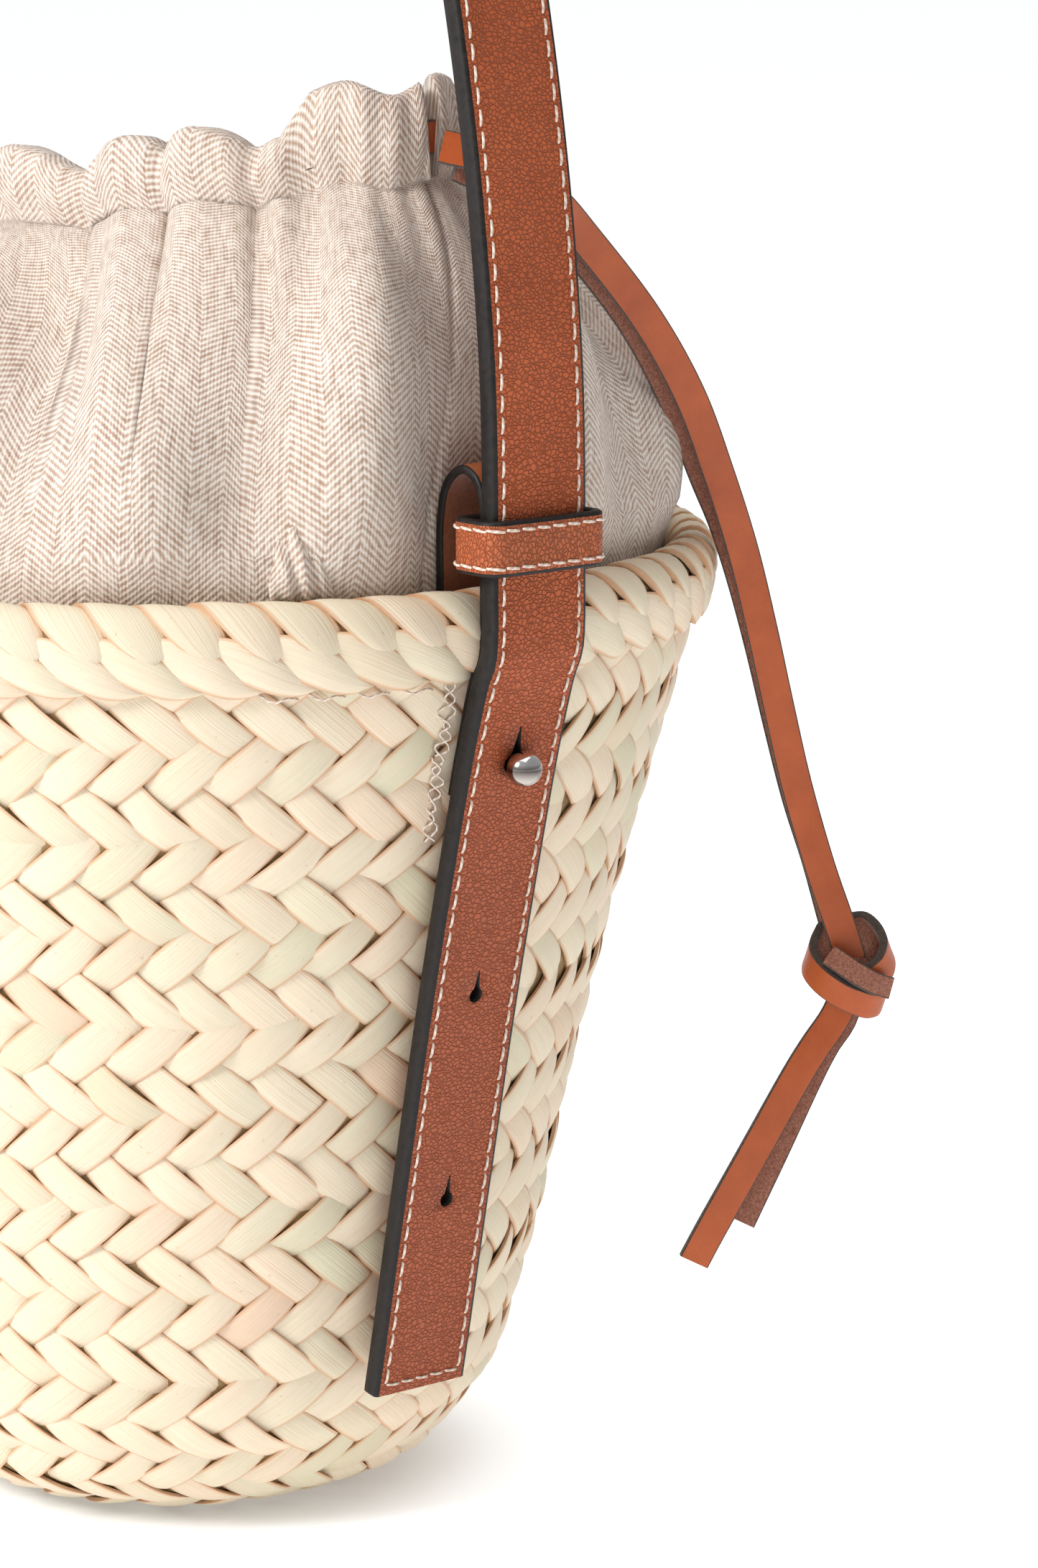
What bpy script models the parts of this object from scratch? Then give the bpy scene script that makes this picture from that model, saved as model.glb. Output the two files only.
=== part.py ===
"""Woven bucket bag: a plaited palm basket, a linen pouch with a drawstring, and an adjustable leather strap.

Frame: metres, +Z up, origin at the centre of the base's underside. +X points at the right-hand strap.
"""

import math

import bmesh
import bpy
from mathutils import Matrix, Vector

# Basket: a slightly rounded cone on a flat base.
BASE_RADIUS = 0.0540
BASE_THICKNESS = 0.0040
WALL_PROFILE = (  # the wall's outside as (height, radius)
    (0.0010, 0.0588),
    (0.0045, 0.0625),
    (0.0120, 0.0662),
    (0.0300, 0.0740),
    (0.0600, 0.0820),
    (0.0900, 0.0886),
    (0.1200, 0.0956),
    (0.1500, 0.1036),
    (0.1960, 0.1160),
)
WALL_TOP = 0.1960
WALL_THICKNESS = 0.0035
RIM_INNER = 0.1095
RIM_OUTER = 0.1198
RIM_SPLIT = 0.2055
RIM_TOP = 0.2160
GAP = 0.0003  # between pieces that touch

# Linen pouch.
LINEN = 0.0012
LINING_INSET = 0.0118  # from the basket's outside to the lining's outside
CROWN_FOOT = 0.1970
CROWN_RADIUS = 0.1122  # where the crown bulges over the rim
CROWN_FOOT_DRAW = 0.0088  # how much narrower the crown is at its foot, inside the rim
CROWN_FOOT_SHARE = 0.30
CROWN_DENT = 0.0082  # how far each hanger presses the crown in
MOUTH_CENTRE_X = 0.0085
MOUTH_HALF_LENGTH = 0.0820
MOUTH_HALF_DEPTH = 0.0300
MOUTH_HEIGHT = 0.2868  # the foot of the drawstring channel, at its middle
MOUTH_TILT = 0.0085  # how far the channel rises at +X and drops at -X
CHANNEL_HEIGHT = 0.0175
CHANNEL_HALF_WIDTH = 0.0034
SLIT_HALF_ANGLE = math.radians(4.0)
CROWN_POWER = 4.0  # how late the crown turns in towards the mouth

# Leather strap: a face ply and a lining ply, sewn together.
STRAP_WIDTH = 0.0250
PLY = 0.00215
STRAP_THICKNESS = 2 * PLY + GAP
SWING_HEIGHT = 0.2535
ARCH_HALF_SPAN = 0.1268
ARCH_FOOT = 0.2220
STUD_HEIGHT = 0.1778
HOLE_STEPS = (0.0530, 0.1005)  # from the stud down to the second and the third hole
HOLE_RADIUS = 0.0024
SLIT_LENGTH = 0.0080
FLAP_HEIGHT = 0.1600

# Outer face of the strap's lower run on the +X side, from its free end up, as (x, z).
STRAP_RUN = (
    (0.0866, 0.0360),
    (0.0895, 0.0496),
    (0.0935, 0.0692),
    (0.0976, 0.0888),
    (0.1017, 0.1084),
    (0.1060, 0.1280),
    (0.1106, 0.1475),
    (0.1154, 0.1670),
    (0.1182, 0.1778),
    (0.1206, 0.1862),
    (0.1235, 0.1952),
    (0.1260, 0.2005),
    (0.1268, 0.2065),
    (0.1268, 0.2160),
    (ARCH_HALF_SPAN, ARCH_FOOT),
)
ARCH_RUN = (
    (ARCH_HALF_SPAN, ARCH_FOOT),
    (0.1266, 0.2440),
    (0.1255, 0.2655),
    (0.1221, 0.2953),
    (0.1169, 0.3248),
    (0.1101, 0.3540),
    (0.1020, 0.3829),
    (0.0927, 0.4114),
    (0.0824, 0.4396),
    (0.0714, 0.4675),
    (0.0585, 0.4935),
    (0.0420, 0.5165),
    (0.0225, 0.5320),
    (0.0, 0.5370),
)

# Middle of the hanger's leather, from inside the basket over the rim to its riveted end, as (x, z).
HANGER_RUN = (
    (0.1035, 0.1800),
    (0.1066, 0.1960),
    (0.1070, 0.2140),
    (0.1070, 0.2270),
    (0.1088, 0.2352),
    (0.1137, 0.2394),
    (0.1188, 0.2375),
    (0.1209, 0.2310),
    (0.1209, 0.2200),
    (0.1209, 0.2068),
    (0.1200, 0.2012),
    (0.1171, 0.1950),
    (0.1142, 0.1850),
    (0.1122, 0.1778),
    (0.1105, 0.1712),
)
HANGER_THICKNESS = 0.0015
HANGER_WIDTH = 0.0220

# Keeper: the band that ties the strap to the hanger.
KEEPER_FOOT = 0.2190
KEEPER_HEIGHT = 0.0115
KEEPER_THICKNESS = 0.0026
KEEPER_INNER_X = (0.1186, 0.1275)
KEEPER_INNER_HALF_Y = 0.0132
KEEPER_CORNER = 0.0015

# Drawstring: a flat lace whose two ends leave the channel together and share one overhand knot.
LACE_WIDTH = 0.0070
LACE_THICKNESS = 0.0020
LACE_BEARING = math.radians(49.9)  # the lace hangs out along this bearing from +X towards +Y

# The two hanging strands, as (distance along the bearing, distance across it, height).
STRAND_A = (
    (0.0613, 0.0736, 0.3035),
    (0.0722, 0.0736, 0.3005),
    (0.0832, 0.0670, 0.2925),
    (0.0908, 0.0555, 0.2832),
    (0.1039, 0.0425, 0.2653),
    (0.1137, 0.0315, 0.2474),
    (0.1205, 0.0222, 0.2290),
    (0.1262, 0.0150, 0.2111),
    (0.1306, 0.0125, 0.1934),
    (0.1346, 0.0105, 0.1755),
    (0.1388, 0.0090, 0.1576),
    (0.1440, 0.0085, 0.1396),
    (0.1474, 0.0085, 0.1296),
)
STRAND_B = (
    (0.0643, 0.0711, 0.3020),
    (0.0728, 0.0675, 0.2975),
    (0.0805, 0.0615, 0.2905),
    (0.0895, 0.0502, 0.2800),
    (0.1018, 0.0370, 0.2630),
    (0.1110, 0.0258, 0.2450),
    (0.1176, 0.0165, 0.2280),
    (0.1221, 0.0125, 0.2170),
    (0.1263, 0.0095, 0.2042),
    (0.1307, 0.0075, 0.1880),
    (0.1348, 0.0060, 0.1710),
    (0.1392, 0.0045, 0.1540),
    (0.1438, 0.0040, 0.1396),
    (0.1468, 0.0045, 0.1296),
)
KNOT_CENTRE = (0.1505, 0.0080, 0.1163)
KNOT_SIZE = (0.0185, 0.0130, 0.0236)
TAIL_A = (
    (0.1475, 0.0102, 0.1030),
    (0.1432, 0.0112, 0.0978),
    (0.1386, 0.0120, 0.0902),
    (0.1295, 0.0130, 0.0735),
    (0.1205, 0.0130, 0.0567),
    (0.1165, 0.0130, 0.0489),
)
TAIL_B = (
    (0.1490, 0.0055, 0.1030),
    (0.1452, 0.0050, 0.0978),
    (0.1410, 0.0045, 0.0902),
    (0.1332, 0.0040, 0.0735),
    (0.1252, 0.0035, 0.0567),
)

ROUND = 48  # segments round the bag


def clear_scene():
    """Removes whatever the file opens with."""
    for obj in list(bpy.data.objects):
        bpy.data.objects.remove(obj)


def finish(name, colour, roughness, metallic=0.0):
    """A plain Principled material."""
    material = bpy.data.materials.new(name)
    material.use_nodes = True
    shader = material.node_tree.nodes["Principled BSDF"]
    shader.inputs["Base Color"].default_value = (*colour, 1.0)
    shader.inputs["Roughness"].default_value = roughness
    shader.inputs["Metallic"].default_value = metallic
    return material


def add_mesh(name, bm, material, smooth_angle=40):
    """Turns a bmesh into a named object with outward normals and rounded shading."""
    bmesh.ops.recalc_face_normals(bm, faces=bm.faces)
    mesh = bpy.data.meshes.new(name)
    bm.to_mesh(mesh)
    bm.free()
    mesh.materials.append(material)
    mesh.shade_smooth()
    mesh.set_sharp_from_angle(angle=math.radians(smooth_angle))
    obj = bpy.data.objects.new(name, mesh)
    bpy.context.scene.collection.objects.link(obj)
    return obj


def sweep(name, sections, material, closed=False):
    """Joins equal rings of points into one closed solid, as a loop or with a cap at each end."""
    bm = bmesh.new()
    rings = [[bm.verts.new(point) for point in ring] for ring in sections]
    count = len(rings[0])
    pairs = list(zip(rings, rings[1:]))
    if closed:
        pairs.append((rings[-1], rings[0]))
    else:
        bm.faces.new(rings[0])
        bm.faces.new(rings[-1])
    for first, second in pairs:
        for i in range(count):
            j = (i + 1) % count
            bm.faces.new((first[i], first[j], second[j], second[i]))
    return add_mesh(name, bm, material)


def around(profile, segments=ROUND):
    """The rings of a body of revolution about Z, from a closed outline of (radius, height)."""
    turns = [2 * math.pi * i / segments for i in range(segments)]
    return [[Vector((r * math.cos(a), r * math.sin(a), z)) for r, z in profile] for a in turns]


def stacked(profile, segments, place=Matrix.Identity(4)):
    """The rings of a turned solid as circles stacked along its axis, from (radius, height) pairs."""
    turns = [2 * math.pi * i / segments for i in range(segments)]
    return [
        [place @ Vector((r * math.cos(a), r * math.sin(a), z)) for a in turns] for r, z in profile
    ]


def smooth_line(points, spacing):
    """Points about one spacing apart along a Catmull-Rom curve through the given points."""
    points = [Vector(p) for p in points]
    ends = [2 * points[0] - points[1], *points, 2 * points[-1] - points[-2]]
    fine = []
    for a, b, c, d in zip(ends, ends[1:], ends[2:], ends[3:]):
        for i in range(16):
            t = i / 16
            fine.append(
                0.5
                * (
                    2 * b
                    + (c - a) * t
                    + (2 * a - 5 * b + 4 * c - d) * t**2
                    + (3 * b - a - 3 * c + d) * t**3
                )
            )
    fine.append(points[-1])
    along = [0.0]
    for a, b in zip(fine, fine[1:]):
        along.append(along[-1] + (b - a).length)
    steps = max(2, round(along[-1] / spacing))
    line, k = [], 0
    for i in range(steps + 1):
        target = along[-1] * i / steps
        while k < len(along) - 2 and along[k + 1] < target:
            k += 1
        share = (target - along[k]) / (along[k + 1] - along[k])
        line.append(fine[k].lerp(fine[k + 1], min(1.0, share)))
    return line


def tangents(line):
    """The unit direction of travel at each point of a line."""
    found = []
    for i in range(len(line)):
        ahead = line[min(i + 1, len(line) - 1)]
        behind = line[max(i - 1, 0)]
        found.append((ahead - behind).normalized())
    return found


def band(line, sideways, width, thickness, outward=0.0):
    """Rectangular rings along a line: wide along sideways, thick across it, moved by outward."""
    rings = []
    for i, (point, tangent) in enumerate(zip(line, tangents(line))):
        across = sideways[i] if isinstance(sideways, list) else sideways
        across = (across - across.dot(tangent) * tangent).normalized()
        normal = across.cross(tangent)
        half = (width[i] if isinstance(width, list) else width) / 2
        centre = point + normal * outward
        rings.append(
            [
                centre + across * half * a + normal * thickness / 2 * b
                for a, b in ((-1, -1), (1, -1), (1, 1), (-1, 1))
            ]
        )
    return rings


def cut(obj, cutter):
    """Subtracts a helper from a piece."""
    modifier = obj.modifiers.new("cut", "BOOLEAN")
    modifier.operation = "DIFFERENCE"
    modifier.object = cutter


def wall_radius(height):
    """The basket's outer radius at a height."""
    for (low, near), (high, far) in zip(WALL_PROFILE, WALL_PROFILE[1:]):
        if height <= high:
            break
    return near + (far - near) * (height - low) / (high - low)


def make_basket(palm):
    """The plaited wall, its base disc and the two rows of the rim braid."""
    outside = [(radius, height) for height, radius in WALL_PROFILE]
    inside = [(r - WALL_THICKNESS, z) for r, z in outside if z > 0.02]
    foot = [(0.0590, 0.0110), (BASE_RADIUS + GAP, BASE_THICKNESS), (BASE_RADIUS + GAP, 0.0)]
    wall = sweep("basket_wall", around(outside + inside[::-1] + foot), palm, closed=True)
    sweep("basket_base", stacked([(BASE_RADIUS, 0.0), (BASE_RADIUS, BASE_THICKNESS)], ROUND), palm)

    edge = 0.0025
    lower_outer = RIM_OUTER - 0.0012
    lower = [
        (RIM_INNER, WALL_TOP + GAP),
        (lower_outer - edge, WALL_TOP + GAP),
        (lower_outer, WALL_TOP + 2 * edge),
        (lower_outer, RIM_SPLIT - GAP),
        (RIM_INNER, RIM_SPLIT - GAP),
    ]
    sweep("rim_braid_lower", around(lower), palm, closed=True)
    upper = [
        (RIM_INNER, RIM_SPLIT),
        (RIM_OUTER, RIM_SPLIT),
        (RIM_OUTER, RIM_TOP - 1.6 * edge),
        (RIM_OUTER - edge, RIM_TOP),
        (RIM_INNER + edge, RIM_TOP),
        (RIM_INNER, RIM_TOP - 1.2 * edge),
    ]
    sweep("rim_braid_upper", around(upper), palm, closed=True)
    return wall


def mouth_point(turn, outward, lift):
    """A point of the drawstring channel: at a turn round its oval, off its middle line, above its foot."""
    x = MOUTH_HALF_LENGTH * math.cos(turn)
    y = MOUTH_HALF_DEPTH * math.sin(turn)
    normal = Vector((math.cos(turn) / MOUTH_HALF_LENGTH, math.sin(turn) / MOUTH_HALF_DEPTH, 0))
    foot = MOUTH_HEIGHT + MOUTH_TILT * math.cos(turn)
    return Vector((MOUTH_CENTRE_X + x, y, foot + lift)) + normal.normalized() * outward


def crown_point(turn, share, inward):
    """A point of the pouch's crown, from the rim at share 0 to the channel's foot at share 1."""
    side_dent = CROWN_DENT * (
        math.exp(-((math.sin(turn / 2) / 0.12) ** 2))
        + math.exp(-((math.cos(turn / 2) / 0.12) ** 2))
    )
    foot_draw = CROWN_FOOT_DRAW * (1 - min(1.0, share / CROWN_FOOT_SHARE))
    radius = CROWN_RADIUS - max(side_dent, foot_draw)
    foot = Vector((radius * math.cos(turn), radius * math.sin(turn), CROWN_FOOT))
    top = mouth_point(turn, 0.0, -GAP)
    drawn_in = share**CROWN_POWER
    flat = foot.lerp(top, drawn_in)
    centre = Vector((MOUTH_CENTRE_X * drawn_in, 0, 0))
    away = Vector((flat.x - centre.x, flat.y - centre.y, 0))
    flat -= away.normalized() * inward
    return Vector((flat.x, flat.y, foot.z + (top.z - foot.z) * share))


def make_pouch(linen):
    """The lining inside the basket, the crown above it, the channel round the mouth and a small loop."""
    def inset(height, extra=0.0):
        return wall_radius(height) - LINING_INSET - extra

    low, high = 0.0200, CROWN_FOOT - GAP
    foot = (0.0500, BASE_THICKNESS + LINEN + 3 * GAP)
    levels = (low, 0.0300, 0.0600, 0.1200, high)
    lining = [
        foot,
        *[(inset(z), z) for z in levels],
        *[(inset(z, LINEN), z) for z in reversed(levels)],
        (foot[0] - LINEN, foot[1]),
    ]
    wall = sweep("pouch_lining", around(lining), linen, closed=True)
    floor = BASE_THICKNESS + GAP
    sweep("pouch_bottom", stacked([(0.049, floor), (0.049, floor + LINEN)], ROUND), linen)

    shares = [0.0, 0.14, 0.27, 0.42, 0.56, 0.68, 0.78, 0.86, 0.93, 1.0]
    rings = []
    for i in range(ROUND):
        turn = 2 * math.pi * i / ROUND
        outer = [crown_point(turn, s, 0.0) for s in shares]
        inner = [crown_point(turn, s, LINEN) for s in reversed(shares)]
        rings.append(outer + inner)
    sweep("pouch_crown", rings, linen, closed=True)

    half, wall_height = CHANNEL_HALF_WIDTH, CHANNEL_HEIGHT
    outline = [
        (half, 0.0),
        (half, wall_height),
        (-half, wall_height),
        (-half, 0.0),
        (-half + LINEN, 0.0),
        (-half + LINEN, wall_height - LINEN),
        (half - LINEN, wall_height - LINEN),
        (half - LINEN, 0.0),
    ]
    span = 2 * math.pi - 2 * SLIT_HALF_ANGLE
    turns = [SLIT_HALF_ANGLE + span * i / ROUND for i in range(ROUND + 1)]
    channel = [[mouth_point(t, out, lift) for out, lift in outline] for t in turns]
    sweep("drawstring_channel", channel, linen)

    loop_turn = math.radians(-21)
    out = Vector((math.cos(loop_turn), math.sin(loop_turn), 0))
    sideways = Vector((-math.sin(loop_turn), math.cos(loop_turn), 0))
    loop = [(0.1138, 0.2178), (0.1142, 0.2218), (0.1130, 0.2262)]
    line = smooth_line([out * r + Vector((0, 0, z)) for r, z in loop], 0.002)
    sweep("pouch_loop", band(line, sideways, 0.0110, 0.0016), linen)
    return wall


def make_drawstring(lace):
    """The lace: its run inside the channel, two hanging strands, their knot and two tails."""
    middle, half_lace = 0.0090, LACE_WIDTH / 2
    start = SLIT_HALF_ANGLE * 1.2
    span = 2 * math.pi - 2 * start
    corners = ((-1, -1), (1, -1), (1, 1), (-1, 1))
    ring = [
        [
            mouth_point(start + span * i / ROUND, a * LACE_THICKNESS / 2, middle + b * half_lace)
            for a, b in corners
        ]
        for i in range(ROUND + 1)
    ]
    sweep("drawstring_loop", ring, lace)

    along = Vector((math.cos(LACE_BEARING), math.sin(LACE_BEARING), 0))
    across = Vector((math.sin(LACE_BEARING), -math.cos(LACE_BEARING), 0))
    facing = (across + Vector((0, 0, 0.2))).normalized()

    def placed(point):
        return along * point[0] + across * point[1] + Vector((0, 0, point[2]))

    runs = (
        ("drawstring_strand_a", STRAND_A),
        ("drawstring_strand_b", STRAND_B),
        ("drawstring_tail_a", TAIL_A),
        ("drawstring_tail_b", TAIL_B),
    )
    for name, run in runs:
        line = smooth_line([placed(p) for p in run], 0.005)
        sideways = [facing.cross(t) for t in tangents(line)]
        sweep(name, band(line, sideways, LACE_WIDTH, LACE_THICKNESS), lace)

    centre = placed(KNOT_CENTRE)
    rings = []
    for height, girth in ((-1, 0.45), (-0.7, 0.85), (0, 1.0), (0.7, 0.85), (1, 0.45)):
        turns = [2 * math.pi * i / 16 for i in range(16)]
        rings.append(
            [
                centre
                + along * (KNOT_SIZE[0] / 2 * girth * math.cos(a))
                + across * (KNOT_SIZE[1] / 2 * girth * math.sin(a))
                + Vector((0, 0, KNOT_SIZE[2] / 2 * height))
                for a in turns
            ]
        )
    sweep("drawstring_knot", rings, lace)


def strap_line():
    """The outer face of the strap on the +X side, from its free end to the foot of the arch."""
    flat = [(x, 0.0, z) for x, z in STRAP_RUN]
    return smooth_line(flat, 0.004)


def arch_line():
    """The outer face of the strap's arch, from its foot at +X over the top to its foot at -X."""
    right = [(x, 0.0, z) for x, z in ARCH_RUN]
    left = [(-x, y, z) for x, y, z in reversed(right[:-1])]
    return smooth_line(right + left, 0.012)


def point_at_height(line, height):
    """The point and direction of an upward line at a height."""
    for a, b in zip(line, line[1:]):
        if a.z <= height <= b.z:
            return a.lerp(b, (height - a.z) / (b.z - a.z)), (b - a).normalized()
    return line[-1], (line[-1] - line[-2]).normalized()


def along_strap(line, start, distance):
    """The point and direction a distance down the strap from a height."""
    left = distance
    previous = point_at_height(line, start)[0]
    for point in [p for p in reversed(line) if p.z < start]:
        step = (point - previous).length
        if step >= left:
            return previous.lerp(point, left / step), (previous - point).normalized()
        left -= step
        previous = point
    return line[0], (line[1] - line[0]).normalized()


def normal_frame(point, tangent, side):
    """A placement at a strap point with +Z out of the strap's face and +X down its length."""
    down = -tangent
    outward = Vector((0, 1, 0)).cross(tangent)
    if side < 0:
        point, down, outward = (Vector((-v.x, v.y, v.z)) for v in (point, down, outward))
    sideways = outward.cross(down)
    place = Matrix((down, sideways, outward)).transposed().to_4x4()
    place.translation = point
    return place


def helper(name, rings):
    """A hidden solid that cuts other pieces."""
    cutter = sweep(name, rings, bpy.data.materials["palm"])
    cutter.hide_render = True
    cutter.display_type = "WIRE"
    return cutter


def key_hole(name, place):
    """A round hole with a narrow slit above it, through both plies of the strap."""
    reach = 0.010
    disc = helper(name + "_hole", stacked([(HOLE_RADIUS, -reach), (HOLE_RADIUS, reach)], 16, place))
    corners = ((-SLIT_LENGTH, -0.0003), (0, -0.0003), (0, 0.0003), (-SLIT_LENGTH, 0.0003))
    levels = [[place @ Vector((x, y, z)) for x, y in corners] for z in (-reach, reach)]
    return disc, helper(name + "_slit", levels)


def make_strap(leather, suede):
    """The strap: each end's run from the flap to the keeper, the flaps, and the arch between them."""
    line = strap_line()
    over = arch_line()
    up = Vector((0, 1, 0))
    plies = (
        ("strap_face", leather, -PLY / 2),
        ("strap_lining", suede, -PLY * 1.5 - GAP),
    )
    clearance = STRAP_WIDTH / 2 + 0.0004
    run = [p for p in line if p.z > FLAP_HEIGHT + GAP]
    run.insert(0, point_at_height(line, FLAP_HEIGHT + GAP)[0])
    for height in (0.2320, SWING_HEIGHT - clearance):
        run.append(point_at_height(over, height)[0])
    flap = [p for p in line if p.z < FLAP_HEIGHT - 0.001]
    flap.append(point_at_height(line, FLAP_HEIGHT - GAP)[0])

    stations = {
        "stud": point_at_height(line, STUD_HEIGHT),
        "second": along_strap(line, STUD_HEIGHT, HOLE_STEPS[0]),
        "third": along_strap(line, STUD_HEIGHT, HOLE_STEPS[1]),
    }
    for side, label in ((1, "right"), (-1, "left")):
        cuts = {k: normal_frame(*station, side) for k, station in stations.items()}
        stud_hole, stud_slit = key_hole(f"stud_{label}", cuts["stud"])
        flap_cutters = [*key_hole(f"second_{label}", cuts["second"])]
        flap_cutters += key_hole(f"third_{label}", cuts["third"])
        seat = stacked([(0.0052, -0.0060), (0.0052, -PLY - GAP / 2)], 20, cuts["stud"])
        seat_hole = helper(f"stud_seat_{label}", seat)
        for ply, material, outward in plies:
            for part, points in (("run", run), ("flap", flap)):
                placed = [Vector((p.x * side, 0, p.z)) for p in points]
                rings = band(placed, up * side, STRAP_WIDTH, PLY, outward)
                piece = sweep(f"{ply}_{part}_{label}", rings, material)
                if part == "flap":
                    for cutter in flap_cutters:
                        cut(piece, cutter)
                elif ply == "strap_lining":
                    cut(piece, seat_hole)
                    cut(piece, stud_slit)
                else:
                    cut(piece, stud_hole)
                    cut(piece, stud_slit)

    radius = STRAP_WIDTH / 2
    arch = [p for p in over if p.z > SWING_HEIGHT + 0.003]
    for end in (0.0, -0.40, -0.70, -0.90, -0.98):
        tip = point_at_height(over, SWING_HEIGHT + end * radius)[0]
        arch.insert(0, tip)
        arch.append(Vector((-tip.x, 0, tip.z)))
    widths = [
        STRAP_WIDTH * math.sqrt(1 - min(0.0, (p.z - SWING_HEIGHT) / radius) ** 2) for p in arch
    ]
    for ply, material, outward in plies:
        sweep(f"{ply}_arch", band(arch, up, widths, PLY, outward), material)
    return stations


def make_hangers(leather, suede):
    """On each side, the folded strip that stands over the rim, and the keeper that links it to the strap."""
    for side, label in ((1, "right"), (-1, "left")):
        line = smooth_line([(x * side, 0, z) for x, z in HANGER_RUN], 0.0035)
        rings = band(line, Vector((0, 1, 0)), HANGER_WIDTH, HANGER_THICKNESS)
        sweep(f"hanger_{label}", rings, suede)

        low_x, high_x = KEEPER_INNER_X
        centres = (
            (high_x - KEEPER_CORNER, KEEPER_INNER_HALF_Y - KEEPER_CORNER, 0),
            (low_x + KEEPER_CORNER, KEEPER_INNER_HALF_Y - KEEPER_CORNER, 90),
            (low_x + KEEPER_CORNER, KEEPER_CORNER - KEEPER_INNER_HALF_Y, 180),
            (high_x - KEEPER_CORNER, KEEPER_CORNER - KEEPER_INNER_HALF_Y, 270),
        )
        rings = []
        for x, y, start in centres:
            for step in range(5):
                turn = math.radians(start + 90 * step / 4)
                out = Vector((math.cos(turn), math.sin(turn), 0))
                ring = []
                corners = ((0, 0), (KEEPER_THICKNESS, 0), (KEEPER_THICKNESS, 1), (0, 1))
                for thick, lift in corners:
                    point = Vector((x, y, 0)) + out * (KEEPER_CORNER + thick)
                    point.z = KEEPER_FOOT + KEEPER_HEIGHT * lift
                    point.x *= side
                    ring.append(point)
                rings.append(ring)
        sweep(f"keeper_{label}", rings, leather, closed=True)


def make_studs(steel, suede, stations, pierced):
    """The ball studs that button the strap, each with its screw and a backing disc inside the bag."""
    for side, label in ((1, "right"), (-1, "left")):
        place = normal_frame(*stations["stud"], side)
        seat = -STRAP_THICKNESS + GAP
        ball, centre = 0.0037, 0.0031
        neck = 0.0019
        join = math.asin(neck / ball)
        turns = [join + (math.pi - join) * i / 8 for i in range(9)]
        profile = [(0.0046, seat), (0.0046, seat + 0.0011), (neck, seat + 0.0016)]
        profile += [(ball * math.sin(t), centre - ball * math.cos(t)) for t in turns[:-1]]
        profile.append((0.0004, centre + ball))
        sweep(f"stud_ball_{label}", stacked(profile, 20, place), steel)

        inside = -0.0220
        shank, head = 0.0015, 0.0050
        screw = [
            (head * 0.85, inside - 0.0012),
            (head, inside - 0.0007),
            (head, inside),
            (shank, inside + 0.0001),
            (shank, seat - GAP),
        ]
        sweep(f"stud_screw_{label}", stacked(screw, 20, place), steel)

        bore = shank + GAP
        disc = [(bore, inside + GAP), (0.0080, inside + GAP)]
        disc += [(0.0080, inside + 0.0014), (bore, inside + 0.0014)]
        turned = [[place @ p for p in ring] for ring in around(disc, 24)]
        sweep(f"stud_backing_{label}", turned, suede, closed=True)

        bore_rings = stacked([(bore, inside), (bore, seat)], 16, place)
        bore_cutter = helper(f"screw_bore_{label}", bore_rings)
        for piece in (*pierced, bpy.data.objects[f"hanger_{label}"]):
            cut(piece, bore_cutter)


def main():
    clear_scene()
    palm = finish("palm", (0.78, 0.66, 0.43), 0.55)
    linen = finish("linen", (0.66, 0.57, 0.49), 0.9)
    leather = finish("leather", (0.30, 0.10, 0.05), 0.5)
    suede = finish("suede", (0.28, 0.08, 0.035), 0.8)
    lace = finish("lace", (0.42, 0.13, 0.04), 0.45)
    steel = finish("steel", (0.8, 0.8, 0.8), 0.12, 1.0)
    basket_wall = make_basket(palm)
    lining = make_pouch(linen)
    make_drawstring(lace)
    stations = make_strap(leather, suede)
    make_hangers(leather, suede)
    make_studs(steel, suede, stations, (basket_wall, lining))


main()
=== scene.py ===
"""Looks of a plaited palm bucket bag with a gathered linen pouch and a leather shoulder strap.

Every size is in metres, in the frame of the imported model.
"""

import math

import bpy
import numpy as np
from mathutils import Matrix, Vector


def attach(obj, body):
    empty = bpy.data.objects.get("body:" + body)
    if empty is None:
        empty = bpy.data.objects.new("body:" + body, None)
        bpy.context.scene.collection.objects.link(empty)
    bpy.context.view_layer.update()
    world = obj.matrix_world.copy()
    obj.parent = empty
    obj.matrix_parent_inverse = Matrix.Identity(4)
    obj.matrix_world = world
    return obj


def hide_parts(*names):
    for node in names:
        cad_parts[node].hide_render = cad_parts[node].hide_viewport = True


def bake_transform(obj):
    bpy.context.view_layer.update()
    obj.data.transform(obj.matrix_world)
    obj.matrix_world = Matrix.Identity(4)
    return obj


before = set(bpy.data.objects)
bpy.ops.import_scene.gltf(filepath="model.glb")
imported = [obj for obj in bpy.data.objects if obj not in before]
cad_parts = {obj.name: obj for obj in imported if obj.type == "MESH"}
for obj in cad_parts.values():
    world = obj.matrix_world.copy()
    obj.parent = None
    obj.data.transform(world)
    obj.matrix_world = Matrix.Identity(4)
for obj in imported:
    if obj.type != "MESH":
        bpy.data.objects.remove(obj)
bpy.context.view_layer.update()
rng = np.random.default_rng(11)
MM = 0.001
SIDES = (("right", 1.0), ("left", -1.0))
RIGHTWARD = np.array([0.0, 1.0, 0.0])  # across the strap
UP = np.array([0.0, 0.0, 1.0])


# ---------------------------------------------------------------- camera and light

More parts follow.
